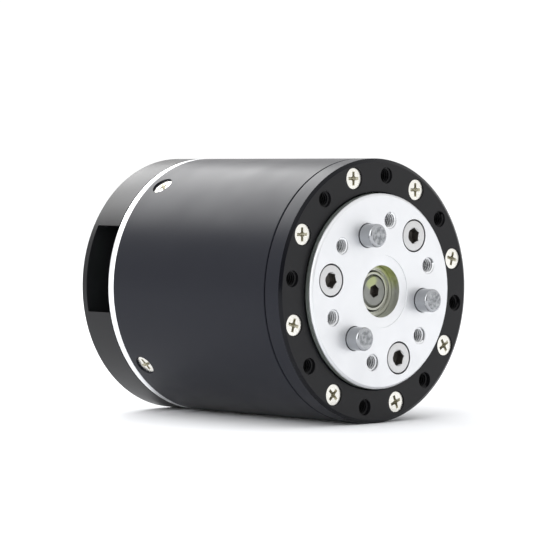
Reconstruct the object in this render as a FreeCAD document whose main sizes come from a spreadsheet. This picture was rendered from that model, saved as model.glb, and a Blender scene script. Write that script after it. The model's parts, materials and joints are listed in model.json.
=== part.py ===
import FreeCAD, Part
import math
import os
import re
import Sketcher

# Robot joint actuator: a cylindrical motor with a two-stage planetary gearbox of about 36 to 1.
# It lies on its side. The row's origin is the centre of the front mounting ring's face, the axis of
# the whole machine runs along +Y into the body, and the output flange faces -Y.
# Every piece is drawn about its own Z axis, with Z = 0 at the ring's face and Z growing rearwards,
# and is then turned so that Z lies along +Y.

os.makedirs("parts", exist_ok=True)
doc = FreeCAD.newDocument("joint_actuator")
Vector = FreeCAD.Vector
Placement = FreeCAD.Placement
Rotation = FreeCAD.Rotation

# ---------------------------------------------------------------------------------------------
# Driving sizes, in millimetres and degrees
# ---------------------------------------------------------------------------------------------

SIZES = {
    # the whole body
    "body_radius": 28.0,
    "body_length": 62.85,        # from the front ring's face to the rear cover's
    # how far the two halves are rolled about the axis as the object lies
    "housing_roll": 7.5,
    "output_roll": 10.2,
    # clearances
    "seat_gap": 0.02,            # between a piece and the seat it is pressed into
    "running_gap": 0.03,         # radial, between a pin and what turns on it
    "side_gap": 0.5,             # between a turning face and the face beside it
    "body_gap": 0.8,             # between two turning bodies
    "edge_break": 0.2,           # the small bevel on turned edges
    # gears
    "sun_teeth": 12,
    "planet_teeth": 24,
    "planet_count": 3,
    "pressure_angle": 20.0,
    "addendum_share": 0.85,      # tooth height above the pitch circle, in modules
    "dedendum_share": 1.12,      # tooth depth below the pitch circle, in modules
    "tooth_backlash": 0.05,      # taken off each flank
    "stage_two_part": 4,         # how the two stages and the stator share the length that the
    "stage_one_part": 3,         # other pieces leave
    "stator_part": 4,
    "ring_gear_wall": 3.216,
    "motor_step": 1.0,           # how much wider the motor's bore is than the gearbox's
    "housing_wall": 2.0,         # round the motor
    "shoulder_thick": 0.6,       # step that the output bearing seats on
    "shoulder_lip": 0.15,        # how far it stands inside the ring gear's teeth
    # front ring
    "ring_thick": 4.47,
    "ring_lip": 0.5,             # how far the ring covers the bearing
    "ring_edge_axial": 0.75,
    "ring_edge_radial": 1.06,
    "ring_land": 0.02,           # between the screw heads and the ring's outer bevel
    "ring_screw_count": 8,
    "ring_screw_floor": 2.07,    # housing left behind the screw holes
    "ring_thread_radius": 1.5,
    "ring_thread_mouth": 1.75,
    "ring_thread_floor": 2.47,
    # countersunk screws of the casings
    "case_screw_radius": 1.25,
    "case_head_radius": 2.26,
    "case_head_sink": 0.06,
    # output bearing, a thin crossed-roller bearing of 35 x 44 x 5
    "bearing_screw_wall": 1.35,  # between the ring screws and the bearing's seat
    "bearing_section": 4.5,
    "bearing_width": 5.0,
    "bearing_ring_wall": 1.25,
    "roller_count": 24,
    "roller_short": 0.2,         # how much shorter a roller is than its diameter
    "race_gap": 0.12,            # between a roller and its track
    "race_floor": 0.38,          # ring left under the deepest part of the track
    "seal_thick": 0.5,
    # output flange
    "flange_proud": 2.04,
    "flange_gap": 0.85,          # seen between the flange and the ring
    "flange_edge": 0.5,
    "flange_bolt_wall": 0.35,    # between the screw holes and the bearing's seat
    "flange_thread_radius": 1.5,
    "flange_thread_mouth": 1.87,
    "flange_thread_depth": 7.0,
    "pilot_land": 2.2,
    "pilot_depth": 0.25,
    "flange_screw_radius": 2.0,
    "flange_head_radius": 3.4,
    "flange_head_depth": 4.0,
    "flange_screw_grip": 7.5,    # screw inside its post
    "flange_socket_radius": 1.73,
    "flange_socket_depth": 2.0,
    "head_recess_gap": 0.13,
    "pin_radius": 2.5,
    "pin_proud": 3.4,
    "pin_chamfer": 0.6,
    "pin_mouth_chamfer": 0.16,
    "pin_undercut": 0.15,
    "pin_undercut_width": 0.6,
    # centre bearing, 7 x 11 x 3
    "centre_shaft_radius": 3.5,
    "centre_bearing_section": 2.0,
    "centre_bearing_width": 3.0,
    "centre_bearing_sink": 2.4,
    "centre_lip": 0.8,
    "small_ring_wall": 0.75,     # wall of the small bearings' outer rings
    "small_inner_wall": 0.55,
    "shield_gap": 0.3,
    "shaft_end_chamfer": 0.35,
    "shaft_socket_radius": 1.44,
    "shaft_socket_depth": 3.0,
    # rear plate of the output carrier, with its 10 x 15 x 3 bearing
    "carrier_bearing_width": 3.0,
    "carrier_bearing_section": 2.5,
    "back_plate_lip": 0.5,
    "carrier_gap": 1.0,          # between a carrier's rim and the ring gear's teeth
    "post_gap": 0.65,            # between a post and the planets beside it
    "sun_pass_gap": 0.205,       # lets the sun pass through the carrier's bearing
    # first-stage carrier
    "stage_plate_thick": 3.0,
    "stage_pin_radius": 2.0,
    "bush_wall": 0.75,
    "nose_wall": 1.0,
    "nose_section": 1.5,
    "nose_bearing_width": 2.5,
    # gearbox cover
    "gear_cover_thick": 1.5,
    "gear_cover_screws": 6,
    "cover_screw_turn": 15.0,
    "small_screw_radius": 0.8,
    "small_head_radius": 1.6,
    "small_screw_length": 5.0,
    # rotor
    "motor_shaft_radius": 3.0,
    "bell_web": 1.6,
    "bell_hub_wall": 3.0,
    "bell_hub_length": 2.6,
    "bell_gap": 0.5,             # between the bell and the base's spigot
    "bell_wall": 1.3,
    "bell_hole_radius": 3.2,
    "bell_holes": 6,
    "magnet_thick": 1.6,
    "magnet_count": 14,
    "magnet_gap_angle": 2.2,
    "air_gap": 0.4,
    # stator
    "slot_count": 12,
    "tooth_width": 3.0,
    "yoke_wall": 3.0,
    "slot_opening": 1.2,
    "tooth_tip": 1.1,
    "coil_end": 2.5,             # how far a coil stands out of the stator's end
    "coil_thick": 1.35,
    "coil_corner": 1.0,
    # motor base and its 6 x 13 x 5 bearings
    "base_web": 2.21,
    "base_rim": 1.79,            # silver rim seen between the housing and the rear cover
    "base_gap": 0.9,
    "spigot_wall": 2.2,
    "spigot_length": 6.7,
    "hub_wall": 2.5,
    "hub_lip": 1.2,
    "rotor_bearing_section": 3.5,
    "rotor_bearing_width": 5.0,
    "rear_bearing_sink": 1.4,
    "side_screw_count": 4,
    "side_screw_inset": 5.5,
    "side_screw_floor": 0.3,
    "lead_radius": 0.7,
    "lead_gap": 0.5,
    # electronics
    "magnet_height": 1.8,
    "sensor_gap": 0.6,
    "sensor_thick": 0.9,
    "sensor_side": 4.0,
    "board_thick": 1.2,
    "board_gap": 0.8,
    "board_post_radius": 2.0,
    "board_post_circle": 16.5,
    "board_screw_radius": 0.95,
    "board_head_thick": 1.2,
    "chip_height": 1.0,
    "transistor_length": 5.2,
    "transistor_width": 5.6,
    "chip_spacing": 0.8,
    "controller_side": 7.0,
    "capacitor_radius": 2.6,
    "capacitor_gap": 0.9,        # between the tallest parts and the cover
    # connectors
    "connector_gap": 0.5,        # between the sockets and the cover
    "connector_depth": 6.0,
    "connector_wall": 0.6,
    "connector_spacing": 1.0,
    "power_width": 8.4,
    "signal_width": 7.0,
    "contact_radius": 0.35,
    # rear cover
    "rear_wall": 2.0,
    "rear_plate": 1.7,
    "rear_depth": 8.92,
    "rear_edge": 0.45,
    "rear_screw_count": 4,
    "rear_boss_radius": 2.5,
    "rear_boss_root": 0.4,       # how far a boss runs into the cover's wall
    "rear_screw_grip": 2.0,
    "window_width": 19.1,
    "window_depth": 5.2,         # from the cover's inner wall to the connectors
}

# What follows from the driving sizes: the length shared by the gears and the stator, places along
# the axis, each from the piece before it, then radii, from the body's inwards
PLACES = {
    "gearbox_rest": "ring_thick + bearing_width + shoulder_thick + 3.5 * side_gap + back_plate_lip"
                    " + carrier_bearing_width + body_gap + stage_plate_thick + gear_cover_thick",
    "motor_rest": "2 * body_gap + bell_web + 2 * coil_end + base_gap + base_web + rear_depth",
    "shared_length": "body_length - gearbox_rest - motor_rest",
    "length_part": "shared_length / (stage_two_part + stage_one_part + stator_part)",
    "stage_two_width": "length_part * stage_two_part",
    "stage_one_width": "length_part * stage_one_part",
    "stator_length": "length_part * stator_part",
    "bearing_back": "ring_thick + bearing_width",
    "gearbox_front": "bearing_back + shoulder_thick",
    "stage_two_front": "gearbox_front + side_gap / 2",
    "stage_two_back": "stage_two_front + stage_two_width",
    "back_plate_front": "stage_two_back + side_gap",
    "carrier_bearing_front": "back_plate_front + back_plate_lip",
    "back_plate_back": "carrier_bearing_front + carrier_bearing_width",
    "stage_plate_front": "back_plate_back + body_gap",
    "stage_plate_back": "stage_plate_front + stage_plate_thick",
    "nose_bearing_front": "stage_plate_back - nose_bearing_width",
    "stage_one_front": "stage_plate_back + side_gap",
    "stage_one_back": "stage_one_front + stage_one_width",
    "gear_cover_front": "stage_one_back + side_gap",
    "gear_cover_back": "gear_cover_front + gear_cover_thick",
    "bell_front": "gear_cover_back + body_gap",
    "bell_web_back": "bell_front + bell_web",
    "coil_front": "bell_web_back + body_gap",
    "stator_front": "coil_front + coil_end",
    "stator_back": "stator_front + stator_length",
    "coil_back": "stator_back + coil_end",
    "base_front": "coil_back + base_gap",
    "base_back": "base_front + base_web",
    "housing_back": "base_back - base_rim",
    "spigot_front": "housing_back - spigot_length",
    "side_screw_place": "base_back - side_screw_inset",
    "hub_front": "bell_front + bell_hub_length + body_gap",
    "front_bearing_back": "hub_front + rotor_bearing_width",
    "rear_bearing_back": "base_back - rear_bearing_sink",
    "rear_bearing_front": "rear_bearing_back - rotor_bearing_width",
    "encoder_back": "rear_bearing_back + magnet_height",
    "sensor_front": "encoder_back + sensor_gap",
    "board_front": "sensor_front + sensor_thick",
    "board_back": "board_front + board_thick",
    "rear_end": "base_back + rear_depth",
    "window_back": "rear_end - rear_plate",
    "connector_height": "window_back - connector_gap - board_back",
    "capacitor_height": "window_back - capacitor_gap - board_back",
    "ring_screw_reach": "gearbox_front - ring_screw_floor",
    "ring_thread_reach": "gearbox_front - ring_thread_floor",
    "flange_front": "-flange_proud",
    "flange_rim_back": "ring_thick - bearing_ring_wall - side_gap",
    "flange_head_back": "flange_front + flange_head_depth",
    "centre_bearing_front": "flange_front + centre_bearing_sink",
    "centre_bearing_back": "centre_bearing_front + centre_bearing_width",
    "motor_bore_radius": "body_radius - housing_wall",
    "ring_gear_radius": "motor_bore_radius - motor_step",
    "ring_root_radius": "ring_gear_radius - ring_gear_wall",
    "ring_teeth": "sun_teeth + 2 * planet_teeth",
    "tooth_size": "ring_root_radius / (ring_teeth / 2 + dedendum_share)",
    "addendum": "tooth_size * addendum_share",
    "dedendum": "tooth_size * dedendum_share",
    "gear_centre": "tooth_size * (sun_teeth + planet_teeth) / 2",
    "sun_tip_radius": "tooth_size * sun_teeth / 2 + addendum",
    "planet_tip_radius": "tooth_size * planet_teeth / 2 + addendum",
    "ring_tip_radius": "tooth_size * ring_teeth / 2 - addendum",
    "cover_screw_circle": "ring_gear_radius - ring_gear_wall / 2",
    "spigot_bore_radius": "motor_bore_radius - spigot_wall",
    "shoulder_radius": "ring_tip_radius - shoulder_lip",
    "case_hole_radius": "case_head_radius + case_head_sink",
    "case_cone_depth": "case_hole_radius - case_screw_radius",
    "ring_circle_radius": "body_radius - ring_edge_radial - ring_land - case_hole_radius",
    "bearing_radius": "ring_circle_radius - case_screw_radius - bearing_screw_wall",
    "bearing_bore_radius": "bearing_radius - bearing_section",
    "bearing_inner_wall": "bearing_bore_radius + bearing_ring_wall",
    "bearing_outer_wall": "bearing_radius - bearing_ring_wall",
    "roller_circle": "bearing_radius - bearing_section / 2",
    "track_half": "bearing_section / 2 - race_floor",
    "roller_radius": "track_half * cos(45) - race_gap",
    "ring_bore_radius": "bearing_radius - ring_lip",
    "flange_radius": "ring_bore_radius - flange_gap",
    "flange_bolt_radius": "bearing_bore_radius - flange_screw_radius - flange_bolt_wall",
    "post_distance": "sqrt(gear_centre^2 + flange_bolt_radius^2"
                     " - 2 * gear_centre * flange_bolt_radius * cos(180 / planet_count))",
    "post_radius": "post_distance - planet_tip_radius - post_gap",
    "carrier_radius": "ring_tip_radius - carrier_gap",
    "centre_bearing_radius": "centre_shaft_radius + centre_bearing_section",
    "pilot_radius": "centre_bearing_radius + pilot_land",
    "carrier_shaft_radius": "sun_tip_radius + sun_pass_gap",
    "carrier_bearing_radius": "carrier_shaft_radius + carrier_bearing_section",
    "nose_bearing_radius": "carrier_shaft_radius - nose_wall",
    "nose_radius": "nose_bearing_radius - nose_section",
    "gear_cover_bore": "sun_tip_radius + body_gap",
    "rotor_bearing_radius": "motor_shaft_radius + rotor_bearing_section",
    "hub_radius": "rotor_bearing_radius + hub_wall",
    "hub_lip_radius": "rotor_bearing_radius - hub_lip",
    "bell_radius": "spigot_bore_radius - bell_gap",
    "bell_hub_radius": "motor_shaft_radius + bell_hub_wall",
    "magnet_radius": "bell_radius - bell_wall",
    "bell_hole_circle": "(bell_hub_radius + magnet_radius) / 2",
    "stator_radius": "magnet_radius - magnet_thick - air_gap",
    "yoke_radius": "hub_radius + yoke_wall",
    "coil_root": "yoke_radius + side_gap / 2",
    "coil_depth": "stator_radius - tooth_tip - yoke_radius - 2 * side_gap",
    "lead_circle": "coil_root + coil_depth / 2",
    "slot_half_angle": "180 / slot_count",
    "rear_inner_radius": "body_radius - rear_wall",
    "board_radius": "rear_inner_radius - board_gap",
    "board_flat": "rear_inner_radius - window_depth",
    "rear_screw_circle": "rear_inner_radius - rear_boss_radius + rear_boss_root",
}

sizes = doc.addObject("Spreadsheet::Sheet", "sizes")
places = doc.addObject("Spreadsheet::Sheet", "places")
SHEET_OF = {}


def full(text):
    """Write an expression with each size under the name of its sheet."""
    return re.sub(r"[a-z][a-z_]+", lambda word: SHEET_OF.get(word.group(), word.group()), text)


def value(text):
    """The number that an expression gives."""
    number = sizes.evalExpression(full(text))
    return float(getattr(number, "Value", number))


def fill_sheets():
    """Put the driving sizes in one sheet and what follows from them in the other."""
    for row, (name, number) in enumerate(SIZES.items(), start=1):
        sizes.set("A%d" % row, name.replace("_", " "))
        sizes.set("B%d" % row, str(number))
        sizes.setAlias("B%d" % row, name)
        SHEET_OF[name] = "sizes." + name
    doc.recompute()
    for row, (name, text) in enumerate(PLACES.items(), start=1):
        places.set("A%d" % row, name.replace("_", " "))
        places.set("B%d" % row, "=" + full(text).replace("places.", ""))
        places.setAlias("B%d" % row, name)
        SHEET_OF[name] = "places." + name
    doc.recompute()


fill_sheets()

# ---------------------------------------------------------------------------------------------
# Small helpers for sketches and features
# ---------------------------------------------------------------------------------------------

PIECES = []                      # every object that is written out
ALONG_Y = Rotation(Vector(1, 0, 0), -90)


def keep(piece, roll, shift=Vector(0, 0, 0), spin=0.0):
    """Lay a finished piece along +Y, rolled about the axis, and note it for the export.

    A piece that sits off the axis is shifted there, turned by its own spin."""
    turn = ALONG_Y * Rotation(Vector(0, 0, 1), value(roll))
    piece.Placement = Placement(turn.multVec(shift), turn * Rotation(Vector(0, 0, 1), spin))
    PIECES.append(piece)
    return piece


def origin_item(body, role):
    """A body's own origin plane or axis."""
    return next(item for item in body.Origin.OriginFeatures if item.Role == role)


def new_body(label):
    body = doc.addObject("PartDesign::Body", label)
    body.Label = label
    return body


def new_sketch(body, name, role, lift="0", turn="0"):
    """A sketch on an origin plane, lifted along its normal or turned about the body's Z axis."""
    sketch = body.newObject("Sketcher::SketchObject", name)
    sketch.AttachmentSupport = [(origin_item(body, role), "")]
    sketch.MapMode = "FlatFace"
    if turn != "0":
        axis = Vector(0, 1, 0) if role == "XZ_Plane" else Vector(0, 0, 1)
        sketch.AttachmentOffset = Placement(Vector(0, 0, 0), Rotation(axis, value(turn)))
        sketch.setExpression("AttachmentOffset.Rotation.Angle", full(turn))
    if lift != "0":
        sketch.setExpression("AttachmentOffset.Base.z", full(lift))
    return sketch


def fix_point(sketch, geometry, end, across, along):
    """Tie one point of a sketch to two expressions."""
    for kind, axis, text in (("DistanceX", -2, across), ("DistanceY", -1, along)):
        if text == "0":
            sketch.addConstraint(Sketcher.Constraint("PointOnObject", geometry, end, axis))
        else:
            index = sketch.addConstraint(Sketcher.Constraint(kind, geometry, end, value(text)))
            sketch.setExpression("Constraints[%d]" % index, full(text))


def draw_outline(sketch, points):
    """A closed outline of straight runs; each corner is a pair of expressions."""
    first = sketch.GeometryCount
    corners = [Vector(value(across), value(along), 0) for across, along in points]
    count = len(corners)
    for number, corner in enumerate(corners):
        sketch.addGeometry(Part.LineSegment(corner, corners[(number + 1) % count]), False)
    for number, (across, along) in enumerate(points):
        following = first + (number + 1) % count
        sketch.addConstraint(Sketcher.Constraint("Coincident", first + number, 2, following, 1))
        fix_point(sketch, first + number, 1, across, along)


def draw_circle(sketch, across, along, radius):
    centre = Vector(value(across), value(along), 0)
    circle = sketch.addGeometry(Part.Circle(centre, Vector(0, 0, 1), value(radius)), False)
    fix_point(sketch, circle, 3, across, along)
    index = sketch.addConstraint(Sketcher.Constraint("Radius", circle, value(radius)))
    sketch.setExpression("Constraints[%d]" % index, full(radius))


def draw_axis(sketch, start, end):
    """A construction line that a revolved feature turns about."""
    points = [Vector(value(across), value(along), 0) for across, along in (start, end)]
    line = sketch.addGeometry(Part.LineSegment(*points), True)
    fix_point(sketch, line, 1, *start)
    fix_point(sketch, line, 2, *end)


def revolve(body, name, sketch, kind="Revolution", axis="V_Axis"):
    feature = body.newObject("PartDesign::" + kind, name)
    feature.Profile = sketch
    feature.ReferenceAxis = (sketch, [axis])
    feature.Angle = 360
    body.Tip = feature
    return feature


def extrude(body, name, sketch, length, kind="Pad", reverse=False):
    feature = body.newObject("PartDesign::" + kind, name)
    feature.Profile = sketch
    feature.setExpression("Length", full(length))
    feature.Reversed = reverse
    body.Tip = feature
    return feature


def around(body, name, features, count):
    """Repeat features round the body's Z axis."""
    pattern = body.newObject("PartDesign::PolarPattern", name)
    pattern.Originals = features
    pattern.Axis = (origin_item(body, "Z_Axis"), [""])
    pattern.Angle = 360
    pattern.setExpression("Occurrences", full(count))
    body.Tip = pattern
    return pattern


def turned(label, points):
    """A turned piece from its half section, as pairs of radius and place along the axis."""
    body = new_body(label)
    sketch = new_sketch(body, label + "_section", "XZ_Plane")
    draw_outline(sketch, points)
    revolve(body, label + "_turned", sketch)
    return body


def round_holes(body, name, circle, turn, count, steps):
    """Holes parallel to the axis; steps are pairs of hole radius and place along the axis."""
    sketch = new_sketch(body, name + "_section", "XZ_Plane", turn=turn)
    points = [(circle, steps[0][1])]
    points += [(circle + " + " + radius, along) for radius, along in steps]
    points.append((circle, steps[-1][1]))
    draw_outline(sketch, points)
    draw_axis(sketch, (circle, steps[0][1]), (circle, steps[-1][1]))
    cut = revolve(body, name + "_cut", sketch, "Groove", "Axis0")
    return around(body, name + "_round", [cut], count)


def round_pins(label, circle, turn, count, steps, socket=None):
    """Separate pins or screws parallel to the axis, as one group."""
    body = new_body(label)
    sketch = new_sketch(body, label + "_section", "XZ_Plane", turn=turn)
    points = [(circle, steps[0][1])]
    points += [(circle + " + " + radius, along) for radius, along in steps]
    points.append((circle, steps[-1][1]))
    draw_outline(sketch, points)
    draw_axis(sketch, (circle, steps[0][1]), (circle, steps[-1][1]))
    features = [revolve(body, label + "_turned", sketch, axis="Axis0")]
    if socket:
        radius, front, depth, away = socket
        hexagon = new_sketch(body, label + "_socket", "XY_Plane", lift=front, turn=turn)
        draw_outline(hexagon, hexagon_corners(circle, radius))
        features.append(extrude(body, label + "_recess", hexagon, depth, "Pocket", away))
    around(body, label + "_round", features, count)
    return body


def hexagon_corners(across, radius):
    """Six corners of a hexagon about a point on the X axis."""
    return [("%s + %s * cos(%d)" % (across, radius, 60 * step + 30),
             "%s * sin(%d)" % (radius, 60 * step + 30)) for step in range(6)]


def radial_steps(steps, level):
    """Turn pairs of radius and distance into corners about a radial line at a level."""
    corners = [(steps[0][1], level)]
    corners += [(out, "%s + %s" % (level, radius)) for radius, out in steps]
    corners.append((steps[-1][1], level))
    return corners


def raw_piece(label, shape):
    """A piece whose shape is worked out here, from sizes read from the sheets."""
    piece = doc.addObject("Part::Feature", label)
    piece.Label = label
    piece.Shape = shape
    return piece


# ---------------------------------------------------------------------------------------------
# Housing
# ---------------------------------------------------------------------------------------------


def countersink(top, bottom, inward=1):
    """Steps of a countersunk hole from its mouth at one place to its end at another."""
    sign = "+" if inward > 0 else "-"
    cone = "%s %s case_cone_depth" % (top, sign)
    return [("case_hole_radius", top), ("case_screw_radius", cone), ("case_screw_radius", bottom)]


def case_screw(top, length, inward=1):
    """Steps of a countersunk screw whose head lies just under a face."""
    sign = "+" if inward > 0 else "-"
    head = "%s %s case_head_sink" % (top, sign)
    cone = "%s %s case_cone_depth" % (top, sign)
    tip = "%s %s %s" % (top, sign, length)
    return [("case_head_radius - seat_gap", head), ("case_screw_radius - seat_gap", cone),
            ("case_screw_radius - seat_gap", tip)]


def front_ring():
    """Black ring that holds the output bearing and bolts to the robot's link."""
    body = turned("front_ring", [
        ("ring_bore_radius + edge_break", "0"),
        ("body_radius - ring_edge_radial", "0"),
        ("body_radius", "ring_edge_axial"),
        ("body_radius", "ring_thick - edge_break"),
        ("body_radius - edge_break", "ring_thick"),
        ("ring_bore_radius", "ring_thick"),
        ("ring_bore_radius", "edge_break")])
    round_holes(body, "ring_screw_holes", "ring_circle_radius", "180 / ring_screw_count",
                "ring_screw_count", countersink("0", "ring_thick"))
    round_holes(body, "ring_threads", "ring_circle_radius", "0", "ring_screw_count", [
        ("ring_thread_mouth", "0"),
        ("ring_thread_radius", "ring_thread_mouth - ring_thread_radius"),
        ("ring_thread_radius", "ring_thick")])
    keep(body, "housing_roll")


def ring_screws():
    """Eight countersunk screws of the front ring."""
    body = round_pins("ring_screws", "ring_circle_radius", "180 / ring_screw_count",
                      "ring_screw_count", case_screw("0", "ring_screw_reach"))
    keep(body, "housing_roll")


SIDE_SCREW_TURN = "180 / side_screw_count"


def main_housing():
    """Black tube that holds the bearing, the ring gear and the motor."""
    body = turned("main_housing", [
        ("bearing_radius", "ring_thick"),
        ("body_radius - edge_break", "ring_thick"),
        ("body_radius", "ring_thick + edge_break"),
        ("body_radius", "housing_back - edge_break"),
        ("body_radius - edge_break", "housing_back"),
        ("motor_bore_radius", "housing_back"),
        ("motor_bore_radius", "gear_cover_front"),
        ("ring_gear_radius", "gear_cover_front"),
        ("ring_gear_radius", "gearbox_front"),
        ("shoulder_radius", "gearbox_front"),
        ("shoulder_radius", "bearing_back"),
        ("bearing_radius", "bearing_back")])
    round_holes(body, "housing_screw_holes", "ring_circle_radius", "180 / ring_screw_count",
                "ring_screw_count", [("case_screw_radius", "ring_thick"),
                                     ("case_screw_radius", "ring_screw_reach + edge_break")])
    round_holes(body, "housing_threads", "ring_circle_radius", "0", "ring_screw_count",
                [("ring_thread_radius", "ring_thick"), ("ring_thread_radius", "ring_thread_reach")])
    sketch = new_sketch(body, "side_holes_section", "XZ_Plane", turn=SIDE_SCREW_TURN)
    draw_outline(sketch, radial_steps([
        ("case_hole_radius", "body_radius + edge_break"),
        ("case_hole_radius", "body_radius - edge_break"),
        ("case_screw_radius", "body_radius - edge_break - case_cone_depth"),
        ("case_screw_radius", "motor_bore_radius - edge_break")], "side_screw_place"))
    draw_axis(sketch, ("motor_bore_radius", "side_screw_place"), ("body_radius", "side_screw_place"))
    cut = revolve(body, "side_holes_cut", sketch, "Groove", "Axis0")
    around(body, "side_holes_round", [cut], "side_screw_count")
    keep(body, "housing_roll")


def side_screws():
    """Four countersunk screws that hold the motor base in the housing."""
    body = new_body("side_screws")
    sketch = new_sketch(body, "side_screws_section", "XZ_Plane", turn=SIDE_SCREW_TURN)
    draw_outline(sketch, radial_steps([
        ("case_head_radius - seat_gap", "body_radius - edge_break - case_head_sink"),
        ("case_screw_radius - seat_gap", "body_radius - edge_break - case_cone_depth"),
        ("case_screw_radius - seat_gap", "spigot_bore_radius + side_screw_floor")],
        "side_screw_place"))
    draw_axis(sketch, ("motor_bore_radius", "side_screw_place"), ("body_radius", "side_screw_place"))
    screw = revolve(body, "side_screws_turned", sketch, axis="Axis0")
    around(body, "side_screws_round", [screw], "side_screw_count")
    keep(body, "housing_roll")


# ---------------------------------------------------------------------------------------------
# Output bearing
# ---------------------------------------------------------------------------------------------

ROLLER_PLACE = "ring_thick + bearing_width / 2"


def track(body, name):
    """Square-cornered groove, standing on its edge, that the crossed rollers run in."""
    sketch = new_sketch(body, name, "XZ_Plane")
    draw_outline(sketch, [
        ("roller_circle - track_half", ROLLER_PLACE),
        ("roller_circle", ROLLER_PLACE + " - track_half"),
        ("roller_circle + track_half", ROLLER_PLACE),
        ("roller_circle", ROLLER_PLACE + " + track_half")])
    revolve(body, name + "_cut", sketch, "Groove")


def output_bearing():
    """Thin crossed-roller bearing between the housing and the output flange."""
    outer = turned("output_bearing_outer", [
        ("bearing_outer_wall", "ring_thick"),
        ("bearing_radius - seat_gap", "ring_thick"),
        ("bearing_radius - seat_gap", "bearing_back - edge_break"),
        ("bearing_radius - seat_gap - edge_break", "bearing_back"),
        ("bearing_outer_wall", "bearing_back")])
    track(outer, "outer_track")
    keep(outer, "housing_roll")
    inner = turned("output_bearing_inner", [
        ("bearing_bore_radius + seat_gap", "ring_thick"),
        ("bearing_inner_wall", "ring_thick"),
        ("bearing_inner_wall", "bearing_back"),
        ("bearing_bore_radius + seat_gap", "bearing_back")])
    track(inner, "inner_track")
    keep(inner, "output_roll")
    seal = turned("output_bearing_seal", [
        ("bearing_inner_wall + shield_gap", "ring_thick"),
        ("bearing_outer_wall - seat_gap", "ring_thick"),
        ("bearing_outer_wall - seat_gap", "ring_thick + seal_thick"),
        ("bearing_inner_wall + shield_gap", "ring_thick + seal_thick")])
    keep(seal, "housing_roll")
    keep(raw_piece("output_bearing_rollers", crossed_rollers()), "output_roll")


def crossed_rollers():
    """Short rollers round the bearing; each leans the other way from the one before it."""
    radius = value("roller_radius")
    length = 2 * radius - value("roller_short")
    count = int(value("roller_count"))
    spot = Vector(value("roller_circle"), 0, value(ROLLER_PLACE))
    rollers = []
    for number in range(count):
        roller = Part.makeCylinder(radius, length, Vector(0, 0, -length / 2))
        roller.rotate(Vector(0, 0, 0), Vector(0, 1, 0), 45 if number % 2 else -45)
        roller.translate(spot)
        roller.rotate(Vector(0, 0, 0), Vector(0, 0, 1), 360.0 * number / count)
        rollers.append(roller)
    return Part.makeCompound(rollers)


def copies_round(shape, count, start=0.0):
    """Copies of a shape, evenly spaced round the Z axis."""
    copies = []
    for number in range(count):
        copy = shape.copy()
        copy.rotate(Vector(0, 0, 0), Vector(0, 0, 1), start + 360.0 * number / count)
        copies.append(copy)
    return Part.makeCompound(copies)


# ---------------------------------------------------------------------------------------------
# Gears
# ---------------------------------------------------------------------------------------------


def involute(angle):
    return math.tan(angle) - angle


def tooth_half_angle(teeth, radius, growth):
    """Half the angle that a tooth spans at a radius; growth widens it at the pitch circle."""
    module = value("tooth_size")
    pressure = math.radians(value("pressure_angle"))
    base = module * teeth / 2 * math.cos(pressure)
    here = math.acos(min(1.0, base / radius))
    pitch_half = (math.pi / 2 + growth / module) / teeth
    return pitch_half + involute(pressure) - involute(here)


def polar(radius, angle):
    return Vector(radius * math.cos(angle), radius * math.sin(angle), 0)


def toothed_face(teeth, low, high, growth, first_angle=0.0):
    """A face bounded by involute teeth between two radii, with a tooth centred on first_angle."""
    module = value("tooth_size")
    base = module * teeth / 2 * math.cos(math.radians(value("pressure_angle")))
    start = max(low, base)
    middle = (start + high) / 2
    pitch = 2 * math.pi / teeth
    edges = []
    for number in range(teeth):
        centre = first_angle + number * pitch
        halves = [tooth_half_angle(teeth, radius, growth) for radius in (start, middle, high)]
        rising = [polar(radius, centre - half) for radius, half in zip((start, middle, high), halves)]
        falling = [polar(radius, centre + half)
                   for radius, half in zip((high, middle, start), halves[::-1])]
        foot = polar(low, centre + halves[0])
        next_foot = polar(low, centre + pitch - halves[0])
        if start > low:
            edges.append(Part.LineSegment(polar(low, centre - halves[0]), rising[0]).toShape())
        edges.append(Part.Arc(*rising).toShape())
        edges.append(Part.Arc(rising[2], polar(high, centre), falling[0]).toShape())
        edges.append(Part.Arc(*falling).toShape())
        if start > low:
            edges.append(Part.LineSegment(falling[2], foot).toShape())
        edges.append(Part.Arc(foot, polar(low, centre + pitch / 2), next_foot).toShape())
    return Part.Face(Part.Wire(edges))


def tube(outer, inner, front, back):
    """A plain tube, or a rod where the inner radius is nought."""
    length = back - front
    shape = Part.makeCylinder(outer, length, Vector(0, 0, front))
    if inner > 0:
        shape = shape.cut(Part.makeCylinder(inner, length, Vector(0, 0, front)))
    return shape


def gear_body(teeth, front, back, bore, first_angle=0.0):
    """An external gear with a round bore."""
    module = value("tooth_size")
    pitch_radius = module * teeth / 2
    low = pitch_radius - value("dedendum")
    high = pitch_radius + value("addendum")
    face = toothed_face(teeth, low, high, -value("tooth_backlash"), first_angle)
    face.translate(Vector(0, 0, front))
    solid = face.extrude(Vector(0, 0, back - front))
    if bore > 0:
        solid = solid.cut(Part.makeCylinder(bore, back - front, Vector(0, 0, front)))
    return solid


def ring_gear():
    """Fixed internal gear shared by both stages."""
    teeth = int(value("ring_teeth"))
    front = value("gearbox_front")
    back = value("gear_cover_front")
    radius = value("ring_gear_radius - seat_gap")
    hollow = toothed_face(teeth, value("ring_tip_radius"), value("ring_root_radius"),
                          value("tooth_backlash"))
    hollow.translate(Vector(0, 0, front))
    blank = Part.makeCylinder(radius, back - front, Vector(0, 0, front))
    shape = blank.cut(hollow.extrude(Vector(0, 0, back - front)))
    depth = value("small_screw_length")
    drill = Part.makeCylinder(value("small_screw_radius"), depth,
                              Vector(value("cover_screw_circle"), 0, back - depth))
    holes = copies_round(drill, int(value("gear_cover_screws")), value("cover_screw_turn"))
    keep(raw_piece("ring_gear", shape.cut(holes)), "output_roll")


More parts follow.
